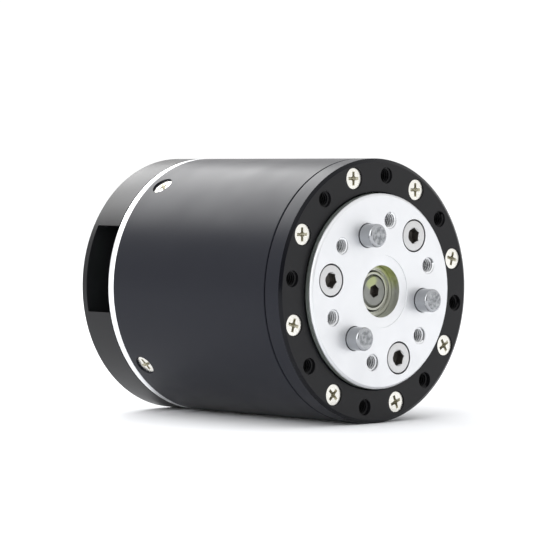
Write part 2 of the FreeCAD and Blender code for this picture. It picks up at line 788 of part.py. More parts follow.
def sun_angle(teeth):
    """A sun starts with a space, or with a tooth where the planets' tooth count is odd."""
    even = int(value("planet_teeth")) % 2 == 0
    return math.pi / teeth if even else 0.0


def planet_places():
    """For each planet, the angle where it sits and how far it is turned to be in mesh."""
    count = int(value("planet_count"))
    roll = 1 - value("ring_teeth") / value("planet_teeth")
    steps = [360.0 * number / count for number in range(count)]
    return [(number, step, step * roll) for number, step in enumerate(steps)]


def planets(stage, front, back, pin):
    """The planet gears of one stage, each with its bush."""
    teeth = int(value("planet_teeth"))
    wall = value("bush_wall")
    bore = value(pin) + wall
    gear = gear_body(teeth, value(front), value(back), bore)
    over = value("side_gap") / 2
    bush = tube(bore - value("seat_gap"), value(pin) + value("running_gap"),
                value(front) - over, value(back) + over)
    centre = value("gear_centre")
    for number, angle, turn in planet_places():
        spot = centre * polar(1, math.radians(angle))
        for kind, shape in (("planet", gear), ("bush", bush)):
            label = "%s_%s_%d" % (stage, kind, number + 1)
            keep(raw_piece(label, shape.copy()), "output_roll", spot, turn)


# ---------------------------------------------------------------------------------------------
# Output flange and carrier
# ---------------------------------------------------------------------------------------------

FLANGE_SCREW_TURN = "180 / planet_count"


def output_flange():
    """Silver output disc, which is also the front plate of the second-stage carrier."""
    body = turned("output_flange", [
        ("pilot_radius", "flange_front"),
        ("flange_radius - flange_edge", "flange_front"),
        ("flange_radius", "flange_front + flange_edge"),
        ("flange_radius", "flange_rim_back"),
        ("bearing_inner_wall", "flange_rim_back"),
        ("bearing_inner_wall", "ring_thick"),
        ("bearing_bore_radius", "ring_thick"),
        ("bearing_bore_radius", "bearing_back"),
        ("centre_bearing_radius - centre_lip", "bearing_back"),
        ("centre_bearing_radius - centre_lip", "centre_bearing_back"),
        ("centre_bearing_radius", "centre_bearing_back"),
        ("centre_bearing_radius", "flange_front + pilot_depth"),
        ("pilot_radius", "flange_front + pilot_depth")])
    round_holes(body, "flange_threads", "flange_bolt_radius", "90 / planet_count",
                "2 * planet_count", [
                    ("flange_thread_mouth", "flange_front"),
                    ("flange_thread_radius", "flange_front + flange_thread_mouth - flange_thread_radius"),
                    ("flange_thread_radius", "flange_front + flange_thread_depth")])
    round_holes(body, "flange_screw_holes", "flange_bolt_radius", FLANGE_SCREW_TURN, "planet_count", [
        ("flange_head_radius + head_recess_gap", "flange_front"),
        ("flange_head_radius + head_recess_gap", "flange_head_back"),
        ("flange_screw_radius", "flange_head_back"),
        ("flange_screw_radius", "bearing_back")])
    round_holes(body, "flange_pin_holes", "gear_centre", "0", "planet_count", [
        ("pin_radius + pin_mouth_chamfer", "flange_front"),
        ("pin_radius", "flange_front + pin_mouth_chamfer"),
        ("pin_radius", "bearing_back")])
    keep(body, "output_roll")


def output_screws():
    """Three socket head screws that pull the carrier's posts against the flange."""
    body = round_pins("output_screws", "flange_bolt_radius", FLANGE_SCREW_TURN, "planet_count", [
        ("flange_head_radius - edge_break", "flange_front"),
        ("flange_head_radius", "flange_front + edge_break"),
        ("flange_head_radius", "flange_head_back"),
        ("flange_screw_radius - seat_gap", "flange_head_back"),
        ("flange_screw_radius - seat_gap", "bearing_back + flange_screw_grip")],
        socket=("flange_socket_radius", "flange_front", "flange_socket_depth", True))
    keep(body, "output_roll")


def output_pins():
    """Three dowels: the second-stage planets turn on them, and their front ends drive the link."""
    body = round_pins("output_pins", "gear_centre", "0", "planet_count", [
        ("pin_radius - seat_gap - pin_chamfer", "flange_front - pin_proud"),
        ("pin_radius - seat_gap", "flange_front - pin_proud + pin_chamfer"),
        ("pin_radius - seat_gap", "flange_front"),
        ("pin_radius - pin_undercut", "flange_front"),
        ("pin_radius - pin_undercut", "flange_front + pin_undercut_width"),
        ("pin_radius - seat_gap", "flange_front + pin_undercut_width"),
        ("pin_radius - seat_gap", "back_plate_back")])
    keep(body, "output_roll")


def carrier_back():
    """Rear plate of the output carrier, with the three posts that reach to the flange."""
    body = turned("carrier_back", [
        ("carrier_bearing_radius - back_plate_lip", "back_plate_front"),
        ("carrier_radius", "back_plate_front"),
        ("carrier_radius", "back_plate_back"),
        ("carrier_bearing_radius", "back_plate_back"),
        ("carrier_bearing_radius", "carrier_bearing_front"),
        ("carrier_bearing_radius - back_plate_lip", "carrier_bearing_front")])
    sketch = new_sketch(body, "post_circle", "XY_Plane", lift="bearing_back", turn=FLANGE_SCREW_TURN)
    draw_circle(sketch, "flange_bolt_radius", "0", "post_radius")
    post = extrude(body, "post", sketch, "back_plate_front - bearing_back")
    around(body, "posts", [post], "planet_count")
    round_holes(body, "post_threads", "flange_bolt_radius", FLANGE_SCREW_TURN, "planet_count",
                [("flange_screw_radius", "bearing_back"), ("flange_screw_radius", "back_plate_front")])
    round_holes(body, "carrier_pin_holes", "gear_centre", "0", "planet_count",
                [("pin_radius", "back_plate_front"), ("pin_radius", "back_plate_back")])
    keep(body, "output_roll")


def small_bearing(name, radius, bore, front, width, outer_roll, inner_roll):
    """A shielded ball bearing as its outer ring, with the shields, and its inner ring."""
    back = "%s + %s" % (front, width)
    inner_out = "%s + small_inner_wall" % bore
    shield_in = "%s + shield_gap" % inner_out
    wall_in = "%s - small_ring_wall" % radius
    sink = "edge_break"
    outer = turned(name + "_outer", [
        (shield_in, "%s + %s" % (front, sink)),
        (wall_in, "%s + %s" % (front, sink)),
        (wall_in, front),
        ("%s - seat_gap - edge_break" % radius, front),
        ("%s - seat_gap" % radius, "%s + edge_break" % front),
        ("%s - seat_gap" % radius, back),
        (wall_in, back),
        (wall_in, "%s - %s" % (back, sink)),
        (shield_in, "%s - %s" % (back, sink))])
    keep(outer, outer_roll)
    inner = turned(name + "_inner", [
        ("%s + seat_gap" % bore, front),
        (inner_out, front),
        (inner_out, back),
        ("%s + seat_gap" % bore, back)])
    keep(inner, inner_roll)


# ---------------------------------------------------------------------------------------------
# First stage
# ---------------------------------------------------------------------------------------------


def stage_two_sun():
    """Sun pinion of the second stage, on the shaft that ends in the middle of the output flange."""
    front = "centre_bearing_front - edge_break"
    body = turned("stage_two_shaft_blank", [
        ("0", front),
        ("centre_shaft_radius - shaft_end_chamfer", front),
        ("centre_shaft_radius", "centre_bearing_front - edge_break + shaft_end_chamfer"),
        ("centre_shaft_radius", "centre_bearing_back"),
        ("motor_shaft_radius", "centre_bearing_back + edge_break"),
        ("motor_shaft_radius", "back_plate_front"),
        ("carrier_shaft_radius", "carrier_bearing_front"),
        ("carrier_shaft_radius", "stage_plate_back"),
        ("nose_bearing_radius", "stage_plate_back"),
        ("nose_bearing_radius", "nose_bearing_front"),
        ("motor_shaft_radius", "nose_bearing_front"),
        ("motor_shaft_radius", "nose_bearing_front - side_gap"),
        ("0", "nose_bearing_front - side_gap")])
    socket = new_sketch(body, "shaft_socket_corners", "XY_Plane", lift=front)
    draw_outline(socket, hexagon_corners("0", "shaft_socket_radius"))
    extrude(body, "shaft_socket_recess", socket, "shaft_socket_depth", "Pocket", True)
    doc.recompute()
    teeth = int(value("sun_teeth"))
    gear = gear_body(teeth, value("stage_two_front"), value("stage_two_back"), 0, sun_angle(teeth))
    shaft = body.Shape.copy()
    keep(raw_piece("stage_two_sun", shaft.fuse(gear).removeSplitter()), "output_roll")


def stage_one_carrier():
    """Carrier plate of the first stage, pressed on the second-stage sun's shaft."""
    body = turned("stage_one_carrier", [
        ("carrier_shaft_radius + seat_gap", "stage_plate_front"),
        ("carrier_radius", "stage_plate_front"),
        ("carrier_radius", "stage_plate_back"),
        ("carrier_shaft_radius + seat_gap", "stage_plate_back")])
    round_holes(body, "stage_pin_holes", "gear_centre", "0", "planet_count",
                [("stage_pin_radius", "stage_plate_front"), ("stage_pin_radius", "stage_plate_back")])
    round_holes(body, "stage_lightening", "gear_centre", "180 / planet_count", "planet_count",
                [("post_radius", "stage_plate_front"), ("post_radius", "stage_plate_back")])
    keep(body, "output_roll")
    pins = round_pins("stage_one_pins", "gear_centre", "0", "planet_count", [
        ("stage_pin_radius - seat_gap", "stage_plate_front"),
        ("stage_pin_radius - seat_gap", "stage_one_back + side_gap / 2")])
    keep(pins, "output_roll")


def gearbox_cover():
    """Plate that closes the gearbox towards the motor, and its six screws."""
    body = turned("gearbox_cover", [
        ("gear_cover_bore", "gear_cover_front"),
        ("motor_bore_radius - seat_gap", "gear_cover_front"),
        ("motor_bore_radius - seat_gap", "gear_cover_back"),
        ("gear_cover_bore", "gear_cover_back")])
    head_depth = "gear_cover_back - (small_head_radius - small_screw_radius)"
    round_holes(body, "cover_screw_holes", "cover_screw_circle", "cover_screw_turn",
                "gear_cover_screws", [
                    ("small_screw_radius", "gear_cover_front"),
                    ("small_screw_radius", head_depth),
                    ("small_head_radius", "gear_cover_back")])
    keep(body, "output_roll")
    tip = "gear_cover_front - small_screw_length + side_gap"
    screws = round_pins("gearbox_cover_screws", "cover_screw_circle", "cover_screw_turn",
                        "gear_cover_screws", [
                            ("small_screw_radius - seat_gap", tip),
                            ("small_screw_radius - seat_gap", head_depth),
                            ("small_head_radius - seat_gap", "gear_cover_back")])
    keep(screws, "output_roll")


# ---------------------------------------------------------------------------------------------
# Motor
# ---------------------------------------------------------------------------------------------


def rotor_shaft():
    """Motor shaft with the first-stage sun cut on it."""
    nose = "nose_bearing_front"
    body = turned("rotor_shaft_blank", [
        ("0", nose),
        ("nose_radius", nose),
        ("nose_radius", "stage_plate_back"),
        ("motor_shaft_radius", "stage_plate_back + side_gap / 2"),
        ("motor_shaft_radius", "rear_bearing_back"),
        ("0", "rear_bearing_back")])
    doc.recompute()
    teeth = int(value("sun_teeth"))
    gear = gear_body(teeth, value("stage_one_front"), value("stage_one_back"), 0, sun_angle(teeth))
    shape = body.Shape.copy().fuse(gear).removeSplitter()
    keep(raw_piece("rotor_shaft", shape), "output_roll")


def rotor_bell():
    """Steel bell that carries the magnets round the stator."""
    body = turned("rotor_bell", [
        ("motor_shaft_radius + seat_gap", "bell_front"),
        ("bell_radius - edge_break", "bell_front"),
        ("bell_radius", "bell_front + edge_break"),
        ("bell_radius", "stator_back + side_gap"),
        ("magnet_radius", "stator_back + side_gap"),
        ("magnet_radius", "bell_web_back"),
        ("bell_hub_radius", "bell_web_back"),
        ("bell_hub_radius", "bell_front + bell_hub_length"),
        ("motor_shaft_radius + seat_gap", "bell_front + bell_hub_length")])
    round_holes(body, "bell_vents", "bell_hole_circle", "0", "bell_holes",
                [("bell_hole_radius", "bell_front"), ("bell_hole_radius", "bell_web_back")])
    keep(body, "output_roll")


def rotor_magnets():
    """Fourteen arc magnets glued inside the bell."""
    count = int(value("magnet_count"))
    outer = value("magnet_radius - seat_gap")
    inner = value("magnet_radius - magnet_thick")
    front = value("stator_front - side_gap")
    back = value("stator_back + side_gap")
    span = 360.0 / count - value("magnet_gap_angle")
    block = Part.makeCylinder(outer, back - front, Vector(0, 0, front), Vector(0, 0, 1), span)
    block = block.cut(Part.makeCylinder(inner, back - front, Vector(0, 0, front)))
    keep(raw_piece("rotor_magnets", copies_round(block, count)), "output_roll")


def stator_core():
    """Laminated stator with twelve teeth, pressed on the motor base's hub."""
    body = turned("stator_core", [
        ("hub_radius + seat_gap", "stator_front"),
        ("stator_radius", "stator_front"),
        ("stator_radius", "stator_back"),
        ("hub_radius + seat_gap", "stator_back")])
    sketch = new_sketch(body, "slot_outline", "XY_Plane", lift="stator_front", turn="slot_half_angle")
    tip = "stator_radius - tooth_tip"
    side = "(%s) * tan(slot_half_angle) - tooth_width / 2 / cos(slot_half_angle)"
    draw_outline(sketch, [
        ("stator_radius + edge_break", "slot_opening / 2"),
        (tip, "slot_opening / 2"),
        (tip + " - side_gap", side % (tip + " - side_gap")),
        ("yoke_radius", side % "yoke_radius"),
        ("yoke_radius", "-(" + side % "yoke_radius" + ")"),
        (tip + " - side_gap", "-(" + side % (tip + " - side_gap") + ")"),
        (tip, "-slot_opening / 2"),
        ("stator_radius + edge_break", "-slot_opening / 2")])
    slot = extrude(body, "slot", sketch, "stator_length", "Pocket", True)
    around(body, "slots", [slot], "slot_count")
    keep(body, "housing_roll")


def stator_windings():
    """Twelve copper coils, one round each tooth."""
    body = new_body("stator_windings")
    inner_y = "tooth_width / 2 + seat_gap"
    outer_y = "tooth_width / 2 + coil_thick"
    sketch = new_sketch(body, "coil_outline", "YZ_Plane", lift="coil_root")
    draw_outline(sketch, [
        ("-(%s)" % outer_y, "coil_front + coil_corner"),
        ("-(%s) + coil_corner" % outer_y, "coil_front"),
        ("%s - coil_corner" % outer_y, "coil_front"),
        (outer_y, "coil_front + coil_corner"),
        (outer_y, "coil_back - coil_corner"),
        ("%s - coil_corner" % outer_y, "coil_back"),
        ("-(%s) + coil_corner" % outer_y, "coil_back"),
        ("-(%s)" % outer_y, "coil_back - coil_corner")])
    draw_outline(sketch, [
        ("-(%s)" % inner_y, "stator_front - seat_gap"),
        (inner_y, "stator_front - seat_gap"),
        (inner_y, "stator_back + seat_gap"),
        ("-(%s)" % inner_y, "stator_back + seat_gap")])
    coil = extrude(body, "coil", sketch, "coil_depth")
    around(body, "coils", [coil], "slot_count")
    keep(body, "housing_roll")


REAR_SCREW_TURN = "180 / rear_screw_count"


def motor_base():
    """Bare aluminium base: bearing hub, web, spigot in the housing and the silver rim outside."""
    body = turned("motor_base", [
        ("rotor_bearing_radius", "hub_front"),
        ("hub_radius", "hub_front"),
        ("hub_radius", "base_front"),
        ("spigot_bore_radius", "base_front"),
        ("spigot_bore_radius", "spigot_front"),
        ("motor_bore_radius - seat_gap", "spigot_front"),
        ("motor_bore_radius - seat_gap", "housing_back"),
        ("body_radius - edge_break", "housing_back"),
        ("body_radius", "housing_back + edge_break"),
        ("body_radius", "base_back - edge_break"),
        ("body_radius - edge_break", "base_back"),
        ("rotor_bearing_radius", "base_back"),
        ("rotor_bearing_radius", "rear_bearing_front"),
        ("hub_lip_radius", "rear_bearing_front"),
        ("hub_lip_radius", "front_bearing_back"),
        ("rotor_bearing_radius", "front_bearing_back")])
    sketch = new_sketch(body, "base_side_section", "XZ_Plane", turn=SIDE_SCREW_TURN)
    draw_outline(sketch, radial_steps([
        ("case_screw_radius", "motor_bore_radius + edge_break"),
        ("case_screw_radius", "spigot_bore_radius - edge_break")], "side_screw_place"))
    draw_axis(sketch, ("hub_radius", "side_screw_place"), ("body_radius", "side_screw_place"))
    cut = revolve(body, "base_side_cut", sketch, "Groove", "Axis0")
    around(body, "base_side_holes", [cut], "side_screw_count")
    round_holes(body, "base_rear_threads", "rear_screw_circle", REAR_SCREW_TURN,
                "rear_screw_count", [("case_screw_radius", "base_back - rear_screw_grip"),
                                     ("case_screw_radius", "base_back")])
    round_holes(body, "base_lead_holes", "lead_circle", "0", "planet_count",
                [("lead_radius + lead_gap", "base_front"), ("lead_radius + lead_gap", "base_back")])
    round_holes(body, "base_board_threads", "board_post_circle", REAR_SCREW_TURN,
                "rear_screw_count", [("board_screw_radius", "base_front"),
                                     ("board_screw_radius", "base_back")])
    keep(body, "housing_roll")


def motor_leads():
    """Three leads from the windings through the base to the board."""
    body = round_pins("motor_leads", "lead_circle", "0", "planet_count", [
        ("lead_radius", "coil_back + seat_gap"), ("lead_radius", "board_back + edge_break")])
    keep(body, "housing_roll")


# ---------------------------------------------------------------------------------------------
# Electronics and rear cover
# ---------------------------------------------------------------------------------------------


def box(length, width, height, corner):
    return Part.makeBox(length, width, height, Vector(*corner))


def encoder_magnet():
    """Round magnet on the shaft's end, read by the sensor on the board."""
    body = turned("encoder_magnet", [
        ("0", "rear_bearing_back"), ("motor_shaft_radius", "rear_bearing_back"),
        ("motor_shaft_radius", "encoder_back"), ("0", "encoder_back")])
    keep(body, "output_roll")


def encoder_sensor():
    """Position sensor under the middle of the board."""
    half = value("sensor_side") / 2
    chip = box(2 * half, 2 * half, value("sensor_thick"), (-half, -half, value("sensor_front")))
    keep(raw_piece("encoder_sensor", chip), "housing_roll")


def drive_board():
    """Round circuit board, cut flat at the connector window and notched round the cover's bosses."""
    body = turned("drive_board", [
        ("0", "board_front"), ("board_radius", "board_front"),
        ("board_radius", "board_back"), ("0", "board_back")])
    flat = new_sketch(body, "board_flat_outline", "XY_Plane", lift="board_front")
    draw_outline(flat, [
        ("-board_flat", "-board_radius"), ("-board_flat", "board_radius"),
        ("-board_radius - side_gap", "board_radius"), ("-board_radius - side_gap", "-board_radius")])
    extrude(body, "board_flat_cut", flat, "board_thick", "Pocket", True)
    round_holes(body, "board_boss_notches", "rear_screw_circle", REAR_SCREW_TURN,
                "rear_screw_count", [("rear_boss_radius + shield_gap", "board_front"),
                                     ("rear_boss_radius + shield_gap", "board_back")])
    round_holes(body, "board_screw_holes", "board_post_circle", REAR_SCREW_TURN,
                "rear_screw_count", [("board_screw_radius", "board_front"),
                                     ("board_screw_radius", "board_back")])
    round_holes(body, "board_lead_holes", "lead_circle", "0", "planet_count",
                [("lead_radius + seat_gap", "board_front"), ("lead_radius + seat_gap", "board_back")])
    keep(body, "housing_roll")
    posts = turned_posts()
    keep(posts, "housing_roll")
    screws = round_pins("board_screws", "board_post_circle", REAR_SCREW_TURN,
                        "rear_screw_count", [
                            ("board_screw_radius - seat_gap", "base_back - side_gap"),
                            ("board_screw_radius - seat_gap", "board_back"),
                            ("board_post_radius", "board_back"),
                            ("board_post_radius", "board_back + board_head_thick")])
    keep(screws, "housing_roll")


def turned_posts():
    """Four spacers that hold the board off the base."""
    body = round_pins("board_spacers", "board_post_circle", REAR_SCREW_TURN, "rear_screw_count", [
        ("board_post_radius", "base_back"), ("board_post_radius", "board_front")])
    round_holes(body, "spacer_bores", "board_post_circle", REAR_SCREW_TURN,
                "rear_screw_count", [("board_screw_radius", "base_back"),
                                     ("board_screw_radius", "board_front")])
    return body


def board_parts():
    """Power transistors, the controller and two capacitors on the board's rear side."""
    level = value("board_back")
    height = value("chip_height")
    spacing = value("chip_spacing")
    long, wide = value("transistor_length"), value("transistor_width")
    parts = []
    for phase in (-1, 0, 1):
        for column in (0, 1):
            corner = (spacing + column * (long + spacing), phase * (wide + spacing) - wide / 2, level)
            parts.append(box(long, wide, height, corner))
    side = value("controller_side")
    parts.append(box(side, side, height, (-side - spacing, -side / 2, level)))
    radius = value("capacitor_radius")
    across = 3 * spacing + 2 * long + radius
    for end in (-1, 1):
        spot = Vector(across, end * (radius + 2 * spacing), level)
        parts.append(Part.makeCylinder(radius, value("capacitor_height"), spot))
    keep(raw_piece("board_parts", Part.makeCompound(parts)), "housing_roll")


def connectors():
    """Power and signal sockets behind the window, both open towards it."""
    level = value("board_back")
    height = value("connector_height")
    depth = value("connector_depth")
    wall = value("connector_wall")
    power, signal = value("power_width"), value("signal_width")
    mouth = -value("board_flat")
    middle = (power + signal + value("connector_spacing")) / 2
    for name, low, width, ways in (("power_connector", -middle, power, 2),
                                   ("signal_connector", middle - signal, signal, 4)):
        shell = box(depth, width, height, (mouth, low, level))
        hollow = box(depth - 2 * wall, width - 2 * wall, height - 2 * wall,
                     (mouth, low + wall, level + wall))
        pieces = [shell.cut(hollow)]
        for way in range(ways):
            across = low + width * (way + 0.5) / ways
            tip = Vector(mouth + wall, across, level + height / 2)
            pieces.append(Part.makeCylinder(value("contact_radius"), depth - 3 * wall, tip,
                                            Vector(1, 0, 0)))
        keep(raw_piece(name, Part.makeCompound(pieces)), "housing_roll")


def rear_cover():
    """Black cup over the drive board, with its connector window against the silver rim."""
    body = turned("rear_cover", [
        ("rear_inner_radius", "base_back"),
        ("body_radius - edge_break", "base_back"),
        ("body_radius", "base_back + edge_break"),
        ("body_radius", "rear_end - rear_edge"),
        ("body_radius - rear_edge", "rear_end"),
        ("0", "rear_end"),
        ("0", "window_back"),
        ("rear_inner_radius", "window_back")])
    sketch = new_sketch(body, "boss_circle", "XY_Plane", lift="base_back", turn=REAR_SCREW_TURN)
    draw_circle(sketch, "rear_screw_circle", "0", "rear_boss_radius")
    boss = extrude(body, "boss", sketch, "window_back - base_back + seat_gap")
    around(body, "bosses", [boss], "rear_screw_count")
    window = new_sketch(body, "window_outline", "XY_Plane", lift="base_back")
    draw_outline(window, [
        ("-board_flat", "-window_width / 2"),
        ("-board_flat", "window_width / 2"),
        ("-body_radius - rear_wall", "window_width / 2"),
        ("-body_radius - rear_wall", "-window_width / 2")])
    extrude(body, "window_cut", window, "window_back - base_back", "Pocket", True)
    round_holes(body, "rear_screw_holes", "rear_screw_circle", REAR_SCREW_TURN,
                "rear_screw_count", countersink("rear_end", "base_back", -1))
    keep(body, "housing_roll")
    screws = round_pins("rear_cover_screws", "rear_screw_circle", REAR_SCREW_TURN,
                        "rear_screw_count",
                        case_screw("rear_end", "(rear_depth + rear_screw_grip)", -1))
    keep(screws, "housing_roll")


front_ring()
ring_screws()
main_housing()
side_screws()
output_bearing()
ring_gear()
gearbox_cover()
output_flange()
output_screws()
output_pins()
carrier_back()
small_bearing("centre_bearing", "centre_bearing_radius", "centre_shaft_radius",
              "centre_bearing_front", "centre_bearing_width", "output_roll", "output_roll")
small_bearing("carrier_bearing", "carrier_bearing_radius", "carrier_shaft_radius",
              "carrier_bearing_front", "carrier_bearing_width",
              "output_roll", "output_roll")
planets("stage_two", "stage_two_front", "stage_two_back", "pin_radius")
stage_two_sun()
stage_one_carrier()
planets("stage_one", "stage_one_front", "stage_one_back", "stage_pin_radius")
small_bearing("nose_bearing", "nose_bearing_radius", "nose_radius",
              "nose_bearing_front", "nose_bearing_width",
              "output_roll", "output_roll")
rotor_shaft()
rotor_bell()
rotor_magnets()
stator_core()
stator_windings()
motor_base()
small_bearing("front_motor_bearing", "rotor_bearing_radius", "motor_shaft_radius",
              "hub_front", "rotor_bearing_width", "housing_roll", "output_roll")
small_bearing("rear_motor_bearing", "rotor_bearing_radius", "motor_shaft_radius",
              "rear_bearing_front", "rotor_bearing_width", "housing_roll", "output_roll")
motor_leads()
encoder_magnet()
encoder_sensor()
drive_board()
board_parts()
connectors()
rear_cover()

# ---------------------------------------------------------------------------------------------
# Check and write
# ---------------------------------------------------------------------------------------------

doc.recompute()
faults = [item.Label for item in doc.Objects if "Invalid" in item.State or "Error" in item.State]
for piece in PIECES:
    if piece.Shape.isNull() or not piece.Shape.isValid() or not piece.Shape.Solids:
        faults.append(piece.Label)
if faults:
    raise RuntimeError("Pieces that did not build: " + ", ".join(faults))
for piece in PIECES:
    piece.Shape.exportStep("parts/" + piece.Label + ".step")
    print("%-24s %3d solids %10.1f mm3" % (piece.Label, len(piece.Shape.Solids), piece.Shape.Volume))
print(len(PIECES), "nodes")
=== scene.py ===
# %% [markdown]
# # A robot joint actuator
#
# A black anodised tube with a motor and a gearbox inside. A silver flange turns at its front, a
# silver rim shows near its rear, and a black cup closes it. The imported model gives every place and
# main size; this lesson dresses it with the edges, screws, threads and finishes that the eye
# expects, one kind of piece at a time.
#
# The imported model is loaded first, because each later measure is read from it.

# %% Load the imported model
import json
import math
import bmesh
import bpy
from mathutils import Matrix, Vector


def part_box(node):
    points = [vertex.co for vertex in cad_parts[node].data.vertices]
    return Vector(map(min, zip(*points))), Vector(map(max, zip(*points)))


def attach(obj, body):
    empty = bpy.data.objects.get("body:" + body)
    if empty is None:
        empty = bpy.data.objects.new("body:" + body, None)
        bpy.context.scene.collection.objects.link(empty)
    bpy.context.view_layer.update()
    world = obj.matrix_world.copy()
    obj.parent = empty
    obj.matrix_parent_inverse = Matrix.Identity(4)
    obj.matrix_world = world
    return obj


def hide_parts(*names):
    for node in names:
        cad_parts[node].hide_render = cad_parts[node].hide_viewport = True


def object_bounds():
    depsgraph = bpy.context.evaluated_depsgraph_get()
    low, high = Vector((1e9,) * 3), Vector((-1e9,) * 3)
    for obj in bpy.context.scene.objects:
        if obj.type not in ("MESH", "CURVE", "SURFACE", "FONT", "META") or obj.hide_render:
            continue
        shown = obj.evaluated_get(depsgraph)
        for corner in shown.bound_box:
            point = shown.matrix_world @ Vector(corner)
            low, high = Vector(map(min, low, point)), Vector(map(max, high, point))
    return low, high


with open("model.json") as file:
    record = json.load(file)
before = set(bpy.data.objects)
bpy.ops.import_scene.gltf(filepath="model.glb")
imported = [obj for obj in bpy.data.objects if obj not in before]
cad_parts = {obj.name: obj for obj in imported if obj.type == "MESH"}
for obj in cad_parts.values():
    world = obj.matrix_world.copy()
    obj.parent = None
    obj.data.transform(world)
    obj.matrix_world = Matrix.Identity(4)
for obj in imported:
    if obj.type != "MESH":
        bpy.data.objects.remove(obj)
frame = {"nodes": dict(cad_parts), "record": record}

MM = 0.001
# how much wider a hole is in radius than the pin or bearing that it holds, in millimetres
FIT = 0.02
nodes = frame["nodes"]
cad_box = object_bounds()
print("nodes:", len(nodes))

# %% [markdown]
# ## Measure the frame
#
# Round pieces on one axis need only four numbers: inner and outer radius, front and back. They are
# read from a node's points, because points lie on the true circle while a box around facets can
# fall a little short. All modelling below is in millimetres, drawn upright about Z with Z = 0 at
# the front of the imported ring, and is laid along +Y at the end.

# %% Radii and places of round nodes


class Extent:
    """Inner and outer radius of a round node, and where it starts and ends along the axis."""

    def __init__(self, name):
        spots = [vertex.co / MM for vertex in nodes[name].data.vertices]
        radii = [math.hypot(spot.x, spot.z) for spot in spots]
        self.inner = min(radii)
        self.outer = max(radii)
        self.front = min(spot.y for spot in spots)
        self.back = max(spot.y for spot in spots)


ring = Extent("front_ring")
housing = Extent("main_housing")
cover = Extent("rear_cover")
flange = Extent("output_flange")
dowels = Extent("output_pins")
centre_outer = Extent("centre_bearing_outer")
centre_inner = Extent("centre_bearing_inner")
sun = Extent("stage_two_sun")
body_radius = ring.outer
print("body %.2f mm radius, %.2f mm long" % (body_radius, cover.back - ring.front))

# %% Circles that the holes sit on
dims = {mount["name"]: mount["dims"] for mount in frame["record"]["mounts"]}
ring_circle = dims["ring_threads"]["pcd_mm"] / 2
ring_holes = dims["ring_threads"]["count"]
thread_radius = dims["ring_threads"]["hole_r_mm"]
flange_circle = dims["output_threads"]["pcd_mm"] / 2
flange_holes = dims["output_threads"]["count"]
dowel_circle = dims["output_dowels"]["pcd_mm"] / 2
dowel_radius = dims["output_dowels"]["stud_r_mm"]
dowel_count = dims["output_dowels"]["count"]
# how far the body and the output are rolled about the axis, in degrees
HOUSING_ROLL = 7.5
OUTPUT_ROLL = 10.2
print("ring circle %.1f mm, flange circle %.2f mm" % (ring_circle, flange_circle))

# %% [markdown]
# ## Helpers for turned parts
#
# Nearly everything here comes off a lathe, so the basic move is to spin a half section about the
# axis. Corners get their small rounding while the section is still flat: bevelling a few corners
# of one face is quick and exact, where bevelling the finished ring would meet long thin faces.
# Holes are cut by a Boolean, the way a drill does it, because the drill's shape is simple even
# where the edge that it leaves on a curved wall is not.

# %% Spin a half section
BODY_STEPS = 240


def spun(points, steps=96):
    """A turned solid; each corner is (radius, place) or (radius, place, rounding)."""
    bm = bmesh.new()
    corners = [bm.verts.new((point[0], 0, point[1])) for point in points]
    bm.faces.new(corners)
    for rounding in sorted({point[2] for point in points if len(point) == 3}):
        chosen = [corner for corner, point in zip(corners, points) if point[2:] == (rounding,)]
        bmesh.ops.bevel(bm, geom=chosen, offset=rounding, segments=3 if rounding < 0.1 else 5,
                        profile=0.5, affect="VERTICES", material=-1)
    bmesh.ops.delete(bm, geom=bm.faces[:], context="FACES_ONLY")
    on_axis = [edge for edge in bm.edges if all(vert.co.x < 1e-6 for vert in edge.verts)]
    bmesh.ops.delete(bm, geom=on_axis, context="EDGES")
    bmesh.ops.spin(bm, geom=bm.verts[:] + bm.edges[:], cent=(0, 0, 0), axis=(0, 0, 1),
                   angle=2 * math.pi, steps=steps, use_merge=True)
    bmesh.ops.remove_doubles(bm, verts=bm.verts[:], dist=1e-4)
    bmesh.ops.recalc_face_normals(bm, faces=bm.faces[:])
    return bm


# %% Repeat a shape at several places


def around(circle, count, level=0.0, first=0.5):
    """Places at equal steps round the axis, the first after that share of a step."""
    step_out = Matrix.Translation((circle, 0, level))
    return [Matrix.Rotation(math.radians((step + first) * 360 / count), 4, "Z") @ step_out
            for step in range(count)]


def repeated(bm, places):
    """A new bmesh that holds a copy of this one at each place."""
    result = bmesh.new()
    mesh = bpy.data.meshes.new("copy")
    for place in places:
        bm.to_mesh(mesh)
        mesh.transform(place)
        result.from_mesh(mesh)
    bpy.data.meshes.remove(mesh)
    return result


# %% Cut one shape out of another
MOST_FINISHES = 4


def loose_object(bm, name):
    """A helper object for a Boolean, with room for every finish that a piece may have."""
    mesh = bpy.data.meshes.new(name)
    bm.to_mesh(mesh)
    for _ in range(MOST_FINISHES):
        mesh.materials.append(None)
    obj = bpy.data.objects.new(name, mesh)
    bpy.context.scene.collection.objects.link(obj)
    return obj


def cut(bm, *tools, finish=0):
    """The piece with each tool taken out of it; the new walls get that finish number."""
    blank = loose_object(bm, "blank")
    helpers = [blank]
    for tool in tools:
        for face in tool.faces:
            face.material_index = finish
        helper = loose_object(tool, "tool")
        helpers.append(helper)
        boolean = blank.modifiers.new("cut", "BOOLEAN")
        boolean.operation = "DIFFERENCE"
        boolean.solver = "EXACT"
        boolean.object = helper
    bpy.context.view_layer.update()
    view = bpy.context.evaluated_depsgraph_get()
    mesh = bpy.data.meshes.new_from_object(blank.evaluated_get(view))
    result = bmesh.new()
    result.from_mesh(mesh)
    for helper in helpers:
        bpy.data.objects.remove(helper)
    return result


def paint(bm, number, chosen):
    """Give that finish number to the faces that pass a test of their middle and normal."""
    bm.normal_update()
    for face in bm.faces:
        if chosen(face.calc_center_median(), face.normal):
            face.material_index = number
    return bm


# %% Lay a drawn piece in the machine
SHARP_ANGLE = 32


